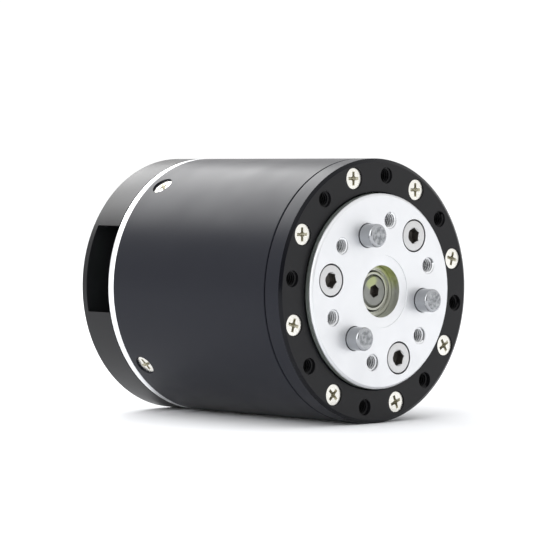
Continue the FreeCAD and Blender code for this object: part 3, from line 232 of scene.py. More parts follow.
def piece_of(bm, name, materials):
    """An object that is shaded smooth, but for edges sharper than SHARP_ANGLE degrees."""
    mesh = bpy.data.meshes.new(name)
    bm.to_mesh(mesh)
    bm.free()
    for material in materials:
        mesh.materials.append(material)
    mesh.shade_smooth()
    mesh.set_sharp_from_angle(angle=math.radians(SHARP_ANGLE))
    obj = bpy.data.objects.new(name, mesh)
    bpy.context.scene.collection.objects.link(obj)
    return obj


def levelled(obj):
    """Shade each flat face flat, and leave the curve to the narrow roundings beside it."""
    rough = obj.data
    weighted = obj.modifiers.new("weighted", "WEIGHTED_NORMAL")
    weighted.keep_sharp = True
    bpy.context.view_layer.update()
    view = bpy.context.evaluated_depsgraph_get()
    mesh = bpy.data.meshes.new_from_object(obj.evaluated_get(view),
                                           preserve_all_data_layers=True, depsgraph=view)
    obj.modifiers.clear()
    obj.data = mesh
    bpy.data.meshes.remove(rough)
    mesh.name = obj.name


def install(bm, name, materials, body, roll, stands_for=()):
    """Turn a drawn piece into an object that rides on its body."""
    lie_down = Matrix.Rotation(math.radians(-90), 4, "X")
    place = Matrix.Scale(MM, 4) @ lie_down @ Matrix.Rotation(math.radians(roll), 4, "Z")
    bmesh.ops.transform(bm, matrix=place, verts=bm.verts[:])
    obj = piece_of(bm, name, materials)
    levelled(obj)
    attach(obj, body)
    if stands_for:
        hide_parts(*stands_for)
    print("%s: %d faces" % (name, len(obj.data.polygons)))
    return obj


def true_round(obj, radius):
    """Give a round wall the shading of a true cylinder, which holes cut in it would disturb."""
    mesh = obj.data
    normals = [Vector(corner.vector) for corner in mesh.corner_normals]
    for face in mesh.polygons:
        outward = Vector((face.center.x, 0, face.center.z)).normalized()
        on_wall = abs(math.hypot(face.center.x, face.center.z) / MM - radius) < 0.1
        if on_wall and face.normal.dot(outward) > 0.999:
            for corner in face.loop_indices:
                spot = mesh.vertices[mesh.loops[corner].vertex_index].co
                normals[corner] = Vector((spot.x, 0, spot.z)).normalized()
    mesh.normals_split_custom_set(normals)


# %% [markdown]
# ## Finishes
#
# One function adds a node with its settings and links; every finish below is then a short list
# of such nodes. Another lets patterns drive the gloss, the relief and the colour. Colours are
# written as they look on a screen, in hex, and one function turns them into the linear values that
# the renderer counts in. Patterns are laid on Object coordinates, and as every piece sits at the
# origin, these are the machine's own.

# %% Colour and node helpers


def tone(code):
    """Linear colour of an sRGB hex code."""
    shares = [int(code[place:place + 2], 16) / 255 for place in (1, 3, 5)]
    linear = [share / 12.92 if share <= 0.04045 else ((share + 0.055) / 1.055) ** 2.4
              for share in shares]
    return (*linear, 1.0)


def add(owner, kind, inputs=None, **settings):
    """One node of a material or world; inputs are numbers, colours or other nodes' outputs."""
    tree = owner.node_tree
    new = tree.nodes.new(kind)
    for name, setting in settings.items():
        setattr(new, name, setting)
    for name, given in (inputs or {}).items():
        if isinstance(given, bpy.types.NodeSocket):
            tree.links.new(given, new.inputs[name])
        else:
            new.inputs[name].default_value = given
    return new


def new_finish(name, colour, metallic, roughness, **more):
    """A material, its shader and the point being shaded; more are other sockets, by name."""
    material = bpy.data.materials.new(name)
    material.use_nodes = True
    material.diffuse_color = tone(colour)
    shader = material.node_tree.nodes["Principled BSDF"]
    sockets = {"Base_Color": tone(colour), "Metallic": metallic, "Roughness": roughness, **more}
    for socket, setting in sockets.items():
        shader.inputs[socket.replace("_", " ")].default_value = setting
    return material, shader, add(material, "ShaderNodeTexCoord").outputs["Object"]


def per_mm(size):
    """Pattern scale whose blotches are about this many millimetres across."""
    return 1 / (size * MM)


# %% Let patterns drive the shader


def driven(material, shader, gloss=None, relief=None, tint=None):
    """Link patterns to a finish: its gloss, its relief and its colour.

    gloss is (pattern, low roughness, high roughness), relief is (pattern, depth in mm, strength),
    tint is (share from 0 to 1, two stops), and a stop is (share, colour).
    """
    links = material.node_tree.links
    if gloss:
        pattern, low, high = gloss
        spread = add(material, "ShaderNodeMapRange", {
            "Value": pattern, "From Min": 0.35, "From Max": 0.65, "To Min": low, "To Max": high})
        links.new(spread.outputs["Result"], shader.inputs["Roughness"])
    if relief:
        pattern, depth, strength = relief
        bump = add(material, "ShaderNodeBump", {
            "Height": pattern, "Distance": depth * MM, "Strength": strength})
        links.new(bump.outputs["Normal"], shader.inputs["Normal"])
    if tint:
        share, stops = tint
        colours = add(material, "ShaderNodeValToRGB", {"Fac": share})
        for element, (place, colour) in zip(colours.color_ramp.elements, stops):
            element.position = place
            element.color = tone(colour)
        links.new(colours.outputs["Color"], shader.inputs["Base Color"])


# %% Two patterns that many finishes share


def mottled(name, colour, metallic, low, high, blotch, detail=3.0, depth=0.0, strength=0.3,
            **more):
    """A finish whose roughness, and relief if it has a depth, wander in blotches."""
    material, shader, here = new_finish(name, colour, metallic, (low + high) / 2, **more)
    cloud = add(material, "ShaderNodeTexNoise", {
        "Vector": here, "Scale": per_mm(blotch), "Detail": detail}).outputs["Fac"]
    driven(material, shader, (cloud, low, high), (cloud, depth, strength) if depth else None)
    return material


def lined(name, colour, low, high, pitch, depth, **more):
    """Metal with uneven lines round its walls, as turning and grinding leave them."""
    material, shader, here = new_finish(name, colour, 1.0, (low + high) / 2, **more)
    along = add(material, "ShaderNodeSeparateXYZ", {0: here}).outputs["Y"]
    lines = add(material, "ShaderNodeTexNoise", {
        "W": along, "Scale": per_mm(pitch), "Detail": 2.0},
        noise_dimensions="1D").outputs["Fac"]
    driven(material, shader, (lines, low, high), (lines, depth, 0.4))
    return material


# %% [markdown]
# ### Black anodised aluminium
#
# Anodising grows a glassy oxide on the metal and dyes it black, so the surface shines like a
# glaze, not like metal: metallic stays 0 and the reflection is grey. The dye soaks up part of it,
# so the specular level is low. The tube was turned and then fine blasted, which leaves a satin
# sheen with a grain of about 0.05 mm. That is too fine to show, so it is drawn at 0.3 mm and kept
# very shallow. The ring's outer bevel was turned last and is smoother.

# %% Black anodised finishes


def black_anodised(name, colour, shine, low=0.34, high=0.39):
    """Dyed oxide: a fine grain for the relief, and wide clouds in the gloss."""
    material, shader, here = new_finish(name, colour, 0.0, low, IOR=1.5, Specular_IOR_Level=shine)
    grain = add(material, "ShaderNodeTexNoise", {
        "Vector": here, "Scale": per_mm(0.3), "Detail": 4.0}).outputs["Fac"]
    cloud = add(material, "ShaderNodeTexNoise", {
        "Vector": here, "Scale": per_mm(14), "Detail": 2.0}).outputs["Fac"]
    driven(material, shader, (cloud, low, high), (grain, 0.01, 0.25))
    return material


anodised = black_anodised("aluminium_anodised_blue_black", "#10121b", 0.175)
neutral_black = black_anodised("aluminium_anodised_black", "#141416", 0.225)
# the outer bevel's colour is a little darker than the tube's: painted shade; its lower roughness is
# its smoother turning
bevel_black_painted_shade = black_anodised("aluminium_anodised_turned_bevel_painted_shade", "#0b0c11", 0.19, 0.1, 0.16)
print(anodised.name, neutral_black.name, bevel_black_painted_shade.name)

# %% [markdown]
# ### Clear anodised and bare aluminium
#
# The flange was faced on a lathe: the tool leaves rings about 0.1 mm apart round the axis. The
# distance from the axis, sent into a one-dimensional noise, draws uneven rings; they are drawn at
# 0.5 mm, since the real ones are finer than the render can hold. The silver rim is the same metal
# with its lines along the edge. A tapped hole's crests are painted light, a painted highlight, and
# its roots and wall are painted darker, painted shade. The flange's wall behind its front edge is
# painted darker too: painted shade beside the gap.

# %% Aluminium finishes
faced, shader, here = new_finish("aluminium_faced_clear_anodised", "#e0e1e3", 1.0, 0.46)
flat = add(faced, "ShaderNodeVectorMath", {0: here, 1: (1.0, 0.0, 1.0)}, operation="MULTIPLY")
distance = add(faced, "ShaderNodeVectorMath", {0: flat.outputs[0]}, operation="LENGTH")
rings = add(faced, "ShaderNodeTexNoise", {
    "W": distance.outputs["Value"], "Scale": per_mm(0.5), "Detail": 2.0}, noise_dimensions="1D")
cloud = add(faced, "ShaderNodeTexNoise", {"Vector": here, "Scale": per_mm(5), "Detail": 3.0})
driven(faced, shader, (cloud.outputs["Fac"], 0.42, 0.52), (rings.outputs["Fac"], 0.006, 0.35))
turned = lined("aluminium_turned_bare", "#eff0f2", 0.26, 0.36, pitch=0.3, depth=0.004)
# thread roots and tapped walls painted darker (painted shade), crests painted light (painted
# highlight)
thread_root_painted_shade = mottled("aluminium_thread_root_painted_shade", "#b4b5b7", 1.0, 0.47, 0.63, blotch=0.25)
thread_crest_painted_highlight = mottled("aluminium_thread_crest_painted_highlight", "#f6f7f8", 1.0, 0.47, 0.63, blotch=0.25)
# the flange's wall behind its front edge: painted darker, painted shade beside the gap
flange_wall_painted_shade = mottled("aluminium_turned_wall_painted_shade", "#7d837f", 1.0, 0.32, 0.48, blotch=0.25)
print(faced.name, turned.name, thread_root_painted_shade.name, thread_crest_painted_highlight.name, flange_wall_painted_shade.name)

# %% [markdown]
# ### Steels
#
# The small countersunk screws are nickel plated: bright, with a warm cast. The three socket
# screws are zinc plated, so whiter and duller. The dowels are ground and hardened, the bearing
# rings are ground and oiled. All are metals, and differ in colour, roughness and scratch pattern.
# The recesses of the cross heads and the sockets are rougher, and painted darker than the heads:
# painted shade. The dowels' ends are dull, mottled where the saw skipped.

# %% Steel finishes
plated = {"detail": 4.0, "depth": 0.004}
nickel = mottled("steel_nickel_plated", "#e5e3dc", 1.0, 0.24, 0.36, blotch=0.6, **plated)
zinc = mottled("steel_zinc_plated", "#c6c6c6", 1.0, 0.28, 0.42, blotch=0.5, **plated)
# cross recesses: painted darker and warmer than the head, painted shade
recess_painted_shade = mottled("steel_recess_painted_shade", "#b7b3a0", 1.0, 0.35, 0.6, blotch=0.4)
# inside the hex sockets: painted darker than the plating, painted shade
socket_painted_shade = mottled("steel_socket_painted_shade", "#7b7874", 1.0, 0.3, 0.5, blotch=0.6)
dowel_steel = lined("steel_ground_dowel", "#a3a5a8", 0.1, 0.17, pitch=0.25, depth=0.003)
bearing_steel = lined("steel_ground_bearing", "#b4b5ab", 0.24, 0.36, pitch=0.2, depth=0.003)
shaft_steel = lined("steel_ground_shaft", "#868783", 0.3, 0.42, pitch=0.3, depth=0.003)
sawn_end, shader, here = new_finish("steel_sawn_end", "#97999c", 1.0, 0.5)
blotch = add(sawn_end, "ShaderNodeTexNoise", {
    "Vector": here, "Scale": per_mm(0.9), "Detail": 4.0}).outputs["Fac"]
driven(sawn_end, shader, (blotch, 0.4, 0.6), (blotch, 0.02, 0.4),
       (blotch, [(0.38, "#77797c"), (0.64, "#b4b6b8")]))
print(nickel.name, zinc.name, dowel_steel.name, bearing_steel.name, sawn_end.name)

# %% [markdown]
# ### Rubber and grease
#
# The bearing's seal is black rubber. Grease has crept onto the wall of the centre bore and the
# shaft's end: a yellow-green film, so thin that the metal shines through, so it is drawn as a
# tint of the metal that fades with the distance from its thickest place.

# %% Rubber and greasy metal
rubber, shader, here = new_finish("rubber_nitrile_moulded", "#141414", 0.0, 0.55, IOR=1.52)
grain = add(rubber, "ShaderNodeTexNoise", {"Vector": here, "Scale": per_mm(0.4), "Detail": 3.0})
driven(rubber, shader, relief=(grain.outputs["Fac"], 0.01, 0.3))


def greased(name, bare, film, roughness, circle, angle, level, reach):
    """Metal with a film of grease that is thick at one place, given in mm, and fades round it."""
    material, shader, here = new_finish(name, bare, 1.0, roughness)
    turn = math.radians(angle)
    thick = Vector((circle * math.cos(turn), level, -circle * math.sin(turn))) * MM
    away_from = add(material, "ShaderNodeVectorMath", {0: here, 1: thick},
                    operation="DISTANCE").outputs["Value"]
    lumps = add(material, "ShaderNodeTexNoise", {
        "Vector": here, "Scale": per_mm(1.4), "Detail": 3.0}).outputs["Fac"]
    edge = add(material, "ShaderNodeMath", {0: lumps, 1: reach * MM, 2: away_from},
               operation="MULTIPLY_ADD").outputs[0]
    share = add(material, "ShaderNodeMapRange", {
        "Value": edge, "From Min": 0.9 * reach * MM, "From Max": 1.7 * reach * MM,
        "To Min": 1.0, "To Max": 0.0}, interpolation_type="SMOOTHSTEP").outputs["Result"]
    driven(material, shader, (lumps, roughness - 0.06, roughness + 0.08), (lumps, 0.03, 0.4),
           (share, [(0.0, bare), (1.0, film)]))
    return material


centre_bore = centre_outer.outer + FIT
greased_bore = greased("aluminium_bored_greased", "#d2d3ce", "#d0d794", 0.42, centre_bore, -55,
                       flange.front + 1.5, 4.6)
greased_end = greased("steel_shaft_end_greased", "#868783", "#a4ab82", 0.4, 2.3, -112,
                      sun.front, 1.9)
print(rubber.name, greased_bore.name, greased_end.name)

# %% [markdown]
# ## The front ring
#
# On the real machine this ring clamps the output bearing and carries the bolt circle. Its section
# is a rectangle with one broad bevel outside, a lip that reaches in to the flange, and a step at
# the back that leaves a dark line at the joint. Sixteen holes are drilled into it: eight
# countersunk for its own screws, eight tapped for the robot's link. One drill shape is spun for
# each kind, repeated round the circle, and cut out in one go.

# %% Drill shapes
HEAD_RADIUS = 2.26
HEAD_GAP = 0.08
HEAD_SINK = 0.3
SCREW_RADIUS = 1.25
THREAD_DEEP = 0.22
# a drill starts this far over the face, so its end never lies in the plane of the face
ABOVE = -1
head_hole = HEAD_RADIUS + HEAD_GAP
cone_depth = head_hole - SCREW_RADIUS
root_radius = thread_radius + THREAD_DEEP


def countersink_drill(depth):
    """Drill for a countersunk screw; its mouth is at Z = 0 and it cuts towards +Z."""
    return spun([(0, ABOVE), (head_hole, ABOVE), (head_hole, HEAD_SINK),
                 (SCREW_RADIUS, HEAD_SINK + cone_depth), (SCREW_RADIUS, depth), (0, depth)],
                steps=48)


def tapping_drill(mouth, depth):
    """Drill for a tapped hole, with the chamfer at its mouth and the cone of the drill's tip."""
    bevel = mouth - root_radius
    return spun([(0, ABOVE), (mouth - ABOVE, ABOVE), (root_radius, bevel),
                 (root_radius, depth), (0, depth + root_radius * 0.6)], steps=48)


# %% Turn and drill the ring
RING_PROUD = 0.25
LIP_GAP = 0.3
LIP_DEEP = 1.4
RING_BEVEL_WIDE = 0.74
RING_BEVEL_DEEP = 0.44
RING_THREAD_MOUTH = 1.75
JOINT_GAP = 0.24
JOINT_DEEP = 0.45
JOINT_AHEAD = 0.12
ring_lip = flange.outer + LIP_GAP
ring_face = ring.front - RING_PROUD
ring_gap = ring.back - JOINT_AHEAD - JOINT_GAP
blank = spun([
    (ring_lip, ring_face, 0.12), (body_radius - RING_BEVEL_WIDE, ring_face, 0.03),
    (body_radius, ring_face + RING_BEVEL_DEEP, 0.03), (body_radius, ring_gap, 0.03),
    (body_radius - JOINT_DEEP, ring_gap), (body_radius - JOINT_DEEP, ring.back),
    (ring.inner, ring.back), (ring.inner, LIP_DEEP), (ring_lip, LIP_DEEP)], BODY_STEPS)
screw_places = around(ring_circle, ring_holes, ring_face)
thread_places = around(ring_circle, ring_holes, ring_face, first=0)
drills = repeated(countersink_drill(ring.back + 1), screw_places)
taps = repeated(tapping_drill(RING_THREAD_MOUTH, ring.back + 1), thread_places)
drilled = paint(cut(blank, drills, taps, finish=1), 1,
                lambda middle, normal: normal.z < -0.99 and middle.z < ring_face + 0.01)
# the outer bevel gets finish 2, painted darker as painted shade
paint(drilled, 2, lambda middle, normal: -0.99 < normal.z < -0.7
      and math.hypot(middle.x, middle.y) > body_radius - RING_BEVEL_WIDE)
install(drilled, "ring_black", [anodised, neutral_black, bevel_black_painted_shade], "housing", HOUSING_ROLL,
        ["front_ring"])

# %% [markdown]
# ## Threads
#
# A tapped hole shows its thread as bright lines. A helix is a small section that climbs while it
# turns, and bmesh's spin does just that when it is given a step along the axis. The real pitch is
# 0.5 mm, which is too fine to show, so it is drawn at 0.64 mm. The hole's wall lies at the foot of
# the ridge, which is set a hair into it, so the two surfaces never lie in one plane.

# %% Wind a helical ridge
PITCH = 0.64
RIDGE_HEIGHT = 0.27
RIDGE_SET = 0.03
RIDGE_FOOT = 0.3
RIDGE_TIP = 0.08
TURN_STEPS = 36


def thread_ridge(start, length):
    """The ridge of a thread between two places along the hole."""
    bm = bmesh.new()
    foot = PITCH * RIDGE_FOOT
    tip = PITCH * RIDGE_TIP
    corners = [(root_radius + RIDGE_SET, -foot), (root_radius - RIDGE_HEIGHT, -tip),
               (root_radius - RIDGE_HEIGHT, tip), (root_radius + RIDGE_SET, foot)]
    profile = bm.faces.new([bm.verts.new((across, 0, start + up)) for across, up in corners])
    turns = length / PITCH
    bmesh.ops.spin(bm, geom=[profile, *profile.edges, *profile.verts], cent=(0, 0, 0),
                   axis=(0, 0, 1), dvec=(0, 0, PITCH / TURN_STEPS),
                   angle=2 * math.pi * turns, steps=int(TURN_STEPS * turns))
    bmesh.ops.recalc_face_normals(bm, faces=bm.faces[:])
    return bm


ring_ridge = thread_ridge(0.65, ring.back - 1.2)
install(repeated(ring_ridge, thread_places), "ring_threads_cut", [neutral_black], "housing",
        HOUSING_ROLL)

# %% [markdown]
# ## The housing tube
#
# One long tube with a bearing seat, a shoulder, the ring gear's seat and the motor's bore. Its
# ends have a small bevel, so the joints beside it read as fine dark lines. Four countersunk holes
# near the rear hold the motor's base. A hole in a round wall leaves odd facets, which would show
# in the sheen, so the wall is then given the shading of a true cylinder.

# %% Turn the tube
EDGE_BREAK = 0.15
bearing_seat = Extent("output_bearing_outer")
gear_seat = Extent("ring_gear")
motor_bore = Extent("gearbox_cover").outer
tube = spun([
    (bearing_seat.outer, housing.front), (body_radius - JOINT_DEEP, housing.front),
    (body_radius - EDGE_BREAK, housing.front, 0.03),
    (body_radius, housing.front + EDGE_BREAK, 0.03), (body_radius, housing.back, EDGE_BREAK),
    (motor_bore, housing.back), (motor_bore, gear_seat.back), (gear_seat.outer, gear_seat.back),
    (gear_seat.outer, gear_seat.front), (housing.inner, gear_seat.front),
    (housing.inner, bearing_seat.back), (bearing_seat.outer, bearing_seat.back)], BODY_STEPS)

# %% Drill the tube
SIDE_SCREWS = 4
side_level = sum(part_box("side_screws")[end][1] for end in (0, 1)) / 2 / MM
lean_out = Matrix.Rotation(math.radians(-90), 4, "Y")
side_places = [place @ lean_out
               for place in around(body_radius - EDGE_BREAK, SIDE_SCREWS, side_level)]
side_drills = repeated(countersink_drill(body_radius - motor_bore + 1), side_places)
to_shoulder = housing.front - ring_face


def blind_drill(radius, wall, tip, steps):
    """Drill for a blind hole from the tube's front, as deep as wall, with a cone down to tip."""
    return spun([(0, to_shoulder + ABOVE), (radius, to_shoulder + ABOVE),
                 (radius, to_shoulder + wall), (0, to_shoulder + tip)], steps)


front_drills = repeated(blind_drill(SCREW_RADIUS, wall=3.6, tip=4.2, steps=32), screw_places)
front_taps = repeated(blind_drill(thread_radius, wall=3.1, tip=4.0, steps=48), thread_places)
tube_piece = install(cut(tube, side_drills, front_drills, front_taps), "housing_tube",
                     [anodised], "housing", HOUSING_ROLL, ["main_housing"])
true_round(tube_piece, body_radius)

# %% [markdown]
# ## Countersunk cross-head screws
#
# The head is a low cone with a flat top and a softly rounded rim. The driver's recess is a cross
# whose four wings narrow towards the bottom: two crossed bars, pinched at their deep end, and a
# cone where they meet. One screw is made and then repeated, each copy turned by its own angle,
# because nobody stops a screwdriver at the same place twice.

# %% The cross recess
CROSS_SPAN = 3.0
CROSS_WIDTH = 0.66
CROSS_DEPTH = 0.9
CROSS_DEEP_SHARE = 0.45
CROSS_HIGH_SHARE = 1.5


def cross_bar(turn):
    """One bar of the cross, narrower at its deep end."""
    bm = bmesh.new()
    size = Matrix.Diagonal((CROSS_SPAN, CROSS_WIDTH, 2 * CROSS_DEPTH, 1))
    bmesh.ops.create_cube(bm, size=1, matrix=Matrix.Rotation(math.radians(turn), 4, "Z") @ size)
    deep = [vert for vert in bm.verts if vert.co.z > 0]
    high = [vert for vert in bm.verts if vert.co.z < 0]
    bmesh.ops.scale(bm, vec=(CROSS_DEEP_SHARE, CROSS_DEEP_SHARE, 1), verts=deep)
    bmesh.ops.scale(bm, vec=(CROSS_HIGH_SHARE, CROSS_HIGH_SHARE, 1), verts=high)
    return bm


def cross_core():
    """The cone in the middle of the cross."""
    return spun([(0, ABOVE), (0.78, ABOVE), (0.62, 0), (0.26, CROSS_DEPTH + 0.1),
                 (0, CROSS_DEPTH + 0.3)], steps=24)


# %% One screw, and copies


def cross_screw(length):
    """A countersunk screw whose head's top lies HEAD_SINK under the face that it closes."""
    shank = SCREW_RADIUS - FIT
    blank = spun([
        (0, 0), (HEAD_RADIUS, 0, 0.12), (HEAD_RADIUS, 0.22), (shank, cone_depth),
        (shank, length), (0, length)], steps=48)
    # the recess walls get finish 1, painted shade
    screw = cut(blank, cross_bar(0), cross_bar(90), cross_core(), finish=1)
    bmesh.ops.translate(screw, vec=(0, 0, HEAD_SINK), verts=screw.verts[:])
    return screw


def turned_by(places, turns):
    """The places, each turned by its own angle about its own axis."""
    return [place @ Matrix.Rotation(math.radians(turn), 4, "Z")
            for place, turn in zip(places, turns)]


RING_SCREW_LONG = 6.5
RING_TURNS = (30, 83, 15, 30, 60, 15, 60, 30)
install(repeated(cross_screw(RING_SCREW_LONG), turned_by(screw_places, RING_TURNS)),
        "ring_screws_cross", [nickel, recess_painted_shade], "housing", HOUSING_ROLL, ["ring_screws"])
SIDE_SCREW_LONG = 4.0
SIDE_TURNS = (20, 73, 36, 89)
install(repeated(cross_screw(SIDE_SCREW_LONG), turned_by(side_places, SIDE_TURNS)),
        "side_screws_cross", [nickel, recess_painted_shade], "housing", HOUSING_ROLL, ["side_screws"])

# %% [markdown]
# ## The motor base and the rear cover
#
# The silver rim is the outer edge of the aluminium base that carries the stator. Its hidden side
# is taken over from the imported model: a copy is merged and given smooth shading. The cover is a
# thin cup whose corner is softly rounded, with a window for the plugs cut straight across.

# %% The base


def merged_copy(name, label, material, body, keep_behind=None):
    """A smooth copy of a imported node, whole or only what lies behind a place."""
    bm = bmesh.new()
    bm.from_mesh(nodes[name].data)
    for face in bm.faces:
        face.material_index = 0
    bmesh.ops.remove_doubles(bm, verts=bm.verts[:], dist=1e-7)
    if keep_behind is not None:
        bmesh.ops.bisect_plane(bm, geom=bm.verts[:] + bm.edges[:] + bm.faces[:],
                               plane_co=(0, keep_behind * MM, 0), plane_no=(0, -1, 0),
                               clear_outer=True)
    obj = piece_of(bm, label, [material])
    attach(obj, body)
    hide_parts(name)
    print("%s: %d faces" % (label, len(obj.data.polygons)))
    return obj


base_piece = merged_copy("motor_base", "base_turned", turned, "housing")
true_round(base_piece, body_radius)

# %% Turn the cover
COVER_WALL = 2.0
COVER_PLATE = 1.7
COVER_EDGE = 0.45
plate_front = cover.back - COVER_PLATE
cup = spun([
    (body_radius - COVER_WALL, cover.front), (body_radius, cover.front, EDGE_BREAK),
    (body_radius, cover.back, COVER_EDGE), (0, cover.back),
    (0, plate_front), (body_radius - COVER_WALL, plate_front, 0.5)], BODY_STEPS)

# %% Cut its window and drill its holes
WINDOW_WIDTH = 19.1
WINDOW_TURN = 1.1
WINDOW_DEEP = 7.2
WINDOW_SPARE = 2
REAR_SCREWS = 4
REAR_CIRCLE = 23.9
window_front = cover.front - WINDOW_SPARE
window_turn = Matrix.Rotation(math.radians(WINDOW_TURN), 4, "Z")
window_spot = Matrix.Translation((-body_radius, 0, (window_front + plate_front) / 2))
window_size = Matrix.Diagonal((2 * WINDOW_DEEP, WINDOW_WIDTH, plate_front - window_front, 1))
window = bmesh.new()
bmesh.ops.create_cube(window, size=1, matrix=window_turn @ window_spot @ window_size)
face_rear = Matrix.Rotation(math.radians(180), 4, "X")
rear_places = [place @ face_rear for place in around(REAR_CIRCLE, REAR_SCREWS, cover.back)]
rear_drills = repeated(countersink_drill(COVER_PLATE + 1), rear_places)
cover_piece = install(cut(cup, window, rear_drills), "cover_cup", [neutral_black], "housing",
                      HOUSING_ROLL, ["rear_cover"])
true_round(cover_piece, body_radius)

# %% Its screws, and the bosses that they sit in
REAR_SCREW_LONG = 10.5
REAR_TURNS = (35, 76, 27, 68)
BOSS_RADIUS = 2.5
install(repeated(cross_screw(REAR_SCREW_LONG), turned_by(rear_places, REAR_TURNS)),
        "rear_screws_cross", [nickel, recess_painted_shade], "housing", HOUSING_ROLL,
        ["rear_cover_screws"])
boss_back = plate_front + 0.1
boss = spun([(SCREW_RADIUS, cover.front), (BOSS_RADIUS, cover.front), (BOSS_RADIUS, boss_back),
             (SCREW_RADIUS, boss_back)], steps=40)
install(repeated(boss, around(REAR_CIRCLE, REAR_SCREWS)), "cover_bosses", [neutral_black],
        "housing", HOUSING_ROLL)

# %% [markdown]
# ## The output flange
#
# A faced disc that stands proud of the ring. Its wall has three fine turning grooves near the
# front edge. A shallow pilot recess rings the centre bore. Six holes are tapped, three are bored
# wide for socket screws, three hold dowels.

# %% Turn the flange
FLANGE_EDGE = 0.5
GROOVE_LEVELS = (0.85, 1.2, 1.55)
GROOVE_WIDE = 0.14
GROOVE_DEEP = 0.09
PILOT_DEPTH = 0.14
PILOT_WIDE = 2.2
RIM_BEHIND = 1.75
SPIGOT_WALL = 12.8
pilot_radius = centre_bore + PILOT_WIDE
pilot_floor = flange.front + PILOT_DEPTH
bearing_inner = Extent("output_bearing_inner")
rim_back = bearing_seat.front - RIM_BEHIND
spigot = flange.inner + SPIGOT_WALL
grooves = []
for level in GROOVE_LEVELS:
    middle = flange.front + level
    grooves += [(flange.outer, middle - GROOVE_WIDE / 2), (flange.outer - GROOVE_DEEP, middle),
                (flange.outer, middle + GROOVE_WIDE / 2)]
flange_blank = spun([
    (pilot_radius, flange.front, 0.05), (flange.outer - FLANGE_EDGE, flange.front, 0.08),
    (flange.outer, flange.front + FLANGE_EDGE, 0.08), *grooves,
    (flange.outer, rim_back, 0.1), (bearing_inner.outer, rim_back),
    (bearing_inner.outer, bearing_seat.front), (spigot, bearing_seat.front),
    (spigot, flange.back), (flange.inner, flange.back), (flange.inner, centre_outer.back),
    (centre_bore, centre_outer.back), (centre_bore, pilot_floor, 0.08),
    (pilot_radius, pilot_floor)], BODY_STEPS)
print("pilot radius %.2f mm, flange inner radius %.2f mm" % (pilot_radius, flange.inner))

# %% Drill shapes of the flange
FLANGE_MOUTH = 1.86
FLANGE_DEPTH = 7.0
SOCKET_HEAD = 3.24
SOCKET_GAP = 0.29
SOCKET_DEPTH = 4.0
SOCKET_SHANK = 2.0
SOCKET_LONG = 13
DOWEL_MOUTH = 0.16
socket_hole = SOCKET_HEAD + SOCKET_GAP
dowel_hole = dowel_radius + FIT
socket_drill = spun([(0, ABOVE), (socket_hole, ABOVE), (socket_hole, SOCKET_DEPTH),
                     (SOCKET_SHANK, SOCKET_DEPTH), (SOCKET_SHANK, SOCKET_LONG),
                     (0, SOCKET_LONG)], steps=72)
dowel_drill = spun([(0, ABOVE), (dowel_hole + DOWEL_MOUTH - ABOVE, ABOVE),
                    (dowel_hole, DOWEL_MOUTH),
                    (dowel_hole, SOCKET_LONG), (0, SOCKET_LONG)], steps=64)
tapped_places = around(flange_circle, flange_holes, flange.front)
socket_places = around(flange_circle, dowel_count, flange.front)
dowel_places = around(dowel_circle, dowel_count, flange.front, first=0)
print("holes:", len(tapped_places), len(socket_places), len(dowel_places))

# %% Drill the flange
# behind this depth the flange's wall is painted darker: painted shade beside the gap
FLANGE_WALL_BRIGHT = 0.8
bored = cut(flange_blank, repeated(socket_drill, socket_places),
            repeated(dowel_drill, dowel_places))
tapped = cut(bored, repeated(tapping_drill(FLANGE_MOUTH, FLANGE_DEPTH), tapped_places), finish=1)
mouth_deep = FLANGE_MOUTH - root_radius
paint(tapped, 0, lambda middle, normal: middle.z < flange.front + mouth_deep)
paint(tapped, 2, lambda middle, normal: middle.z > flange.front + FLANGE_WALL_BRIGHT
      and math.hypot(middle.x, middle.y) > flange.outer - 0.1)
paint(tapped, 3, lambda middle, normal: math.hypot(middle.x, middle.y) < centre_bore + 0.05
      and abs(normal.z) < 0.5)
install(tapped, "flange_faced", [faced, thread_root_painted_shade, flange_wall_painted_shade, greased_bore], "output",
        OUTPUT_ROLL, ["output_flange"])
# the ridges carry the light crest colour, a painted highlight
flange_ridge = thread_ridge(0.3, FLANGE_DEPTH - 2.0)
install(repeated(flange_ridge, tapped_places), "flange_threads_cut", [thread_crest_painted_highlight], "output",
        OUTPUT_ROLL)

# %% [markdown]
# ## Socket screws and dowels
#
# The socket heads sit flush. A hexagon is a circle of six points, extruded into a drill with a
# cone below, as the punch leaves it. The dowels have a bright rounded edge and a dull end face.

# %% Socket screws
SOCKET_RADIUS = 1.73
SOCKET_DEEP = 2.0
SOCKET_TURNS = (8, 33, 58)


def hexagon_drill(radius, depth):
    """Six-sided drill from over the face down to depth."""
    bm = bmesh.new()
    middle = Matrix.Translation((0, 0, (depth + ABOVE) / 2))
    bmesh.ops.create_cone(bm, cap_ends=True, segments=6, radius1=radius, radius2=radius,
                          depth=depth - ABOVE, matrix=middle)
    return bm


def socket_screw():
    """A flush socket head with a bevelled rim and a bevel at the socket's mouth."""
    shank = SOCKET_SHANK - FIT
    punch = SOCKET_RADIUS * 0.8
    blank = spun([(0, 0), (SOCKET_HEAD, 0, 0.18), (SOCKET_HEAD, SOCKET_DEPTH),
                  (shank, SOCKET_DEPTH), (shank, SOCKET_LONG), (0, SOCKET_LONG)], steps=72)
    mouth = spun([(0, ABOVE), (SOCKET_RADIUS + 0.9, ABOVE), (SOCKET_RADIUS - 0.15, 0.2),
                  (0, 0.2)], steps=48)
    floor = spun([(0, SOCKET_DEEP - 0.5), (punch, SOCKET_DEEP - 0.5), (punch, SOCKET_DEEP),
                  (0, SOCKET_DEEP + 0.7)], steps=36)
    # the hexagon and its floor get finish 1, painted shade
    return cut(cut(blank, mouth), hexagon_drill(SOCKET_RADIUS, SOCKET_DEEP), floor, finish=1)


install(repeated(socket_screw(), turned_by(socket_places, SOCKET_TURNS)),
        "flange_socket_screws", [zinc, socket_painted_shade], "output", OUTPUT_ROLL, ["output_screws"])

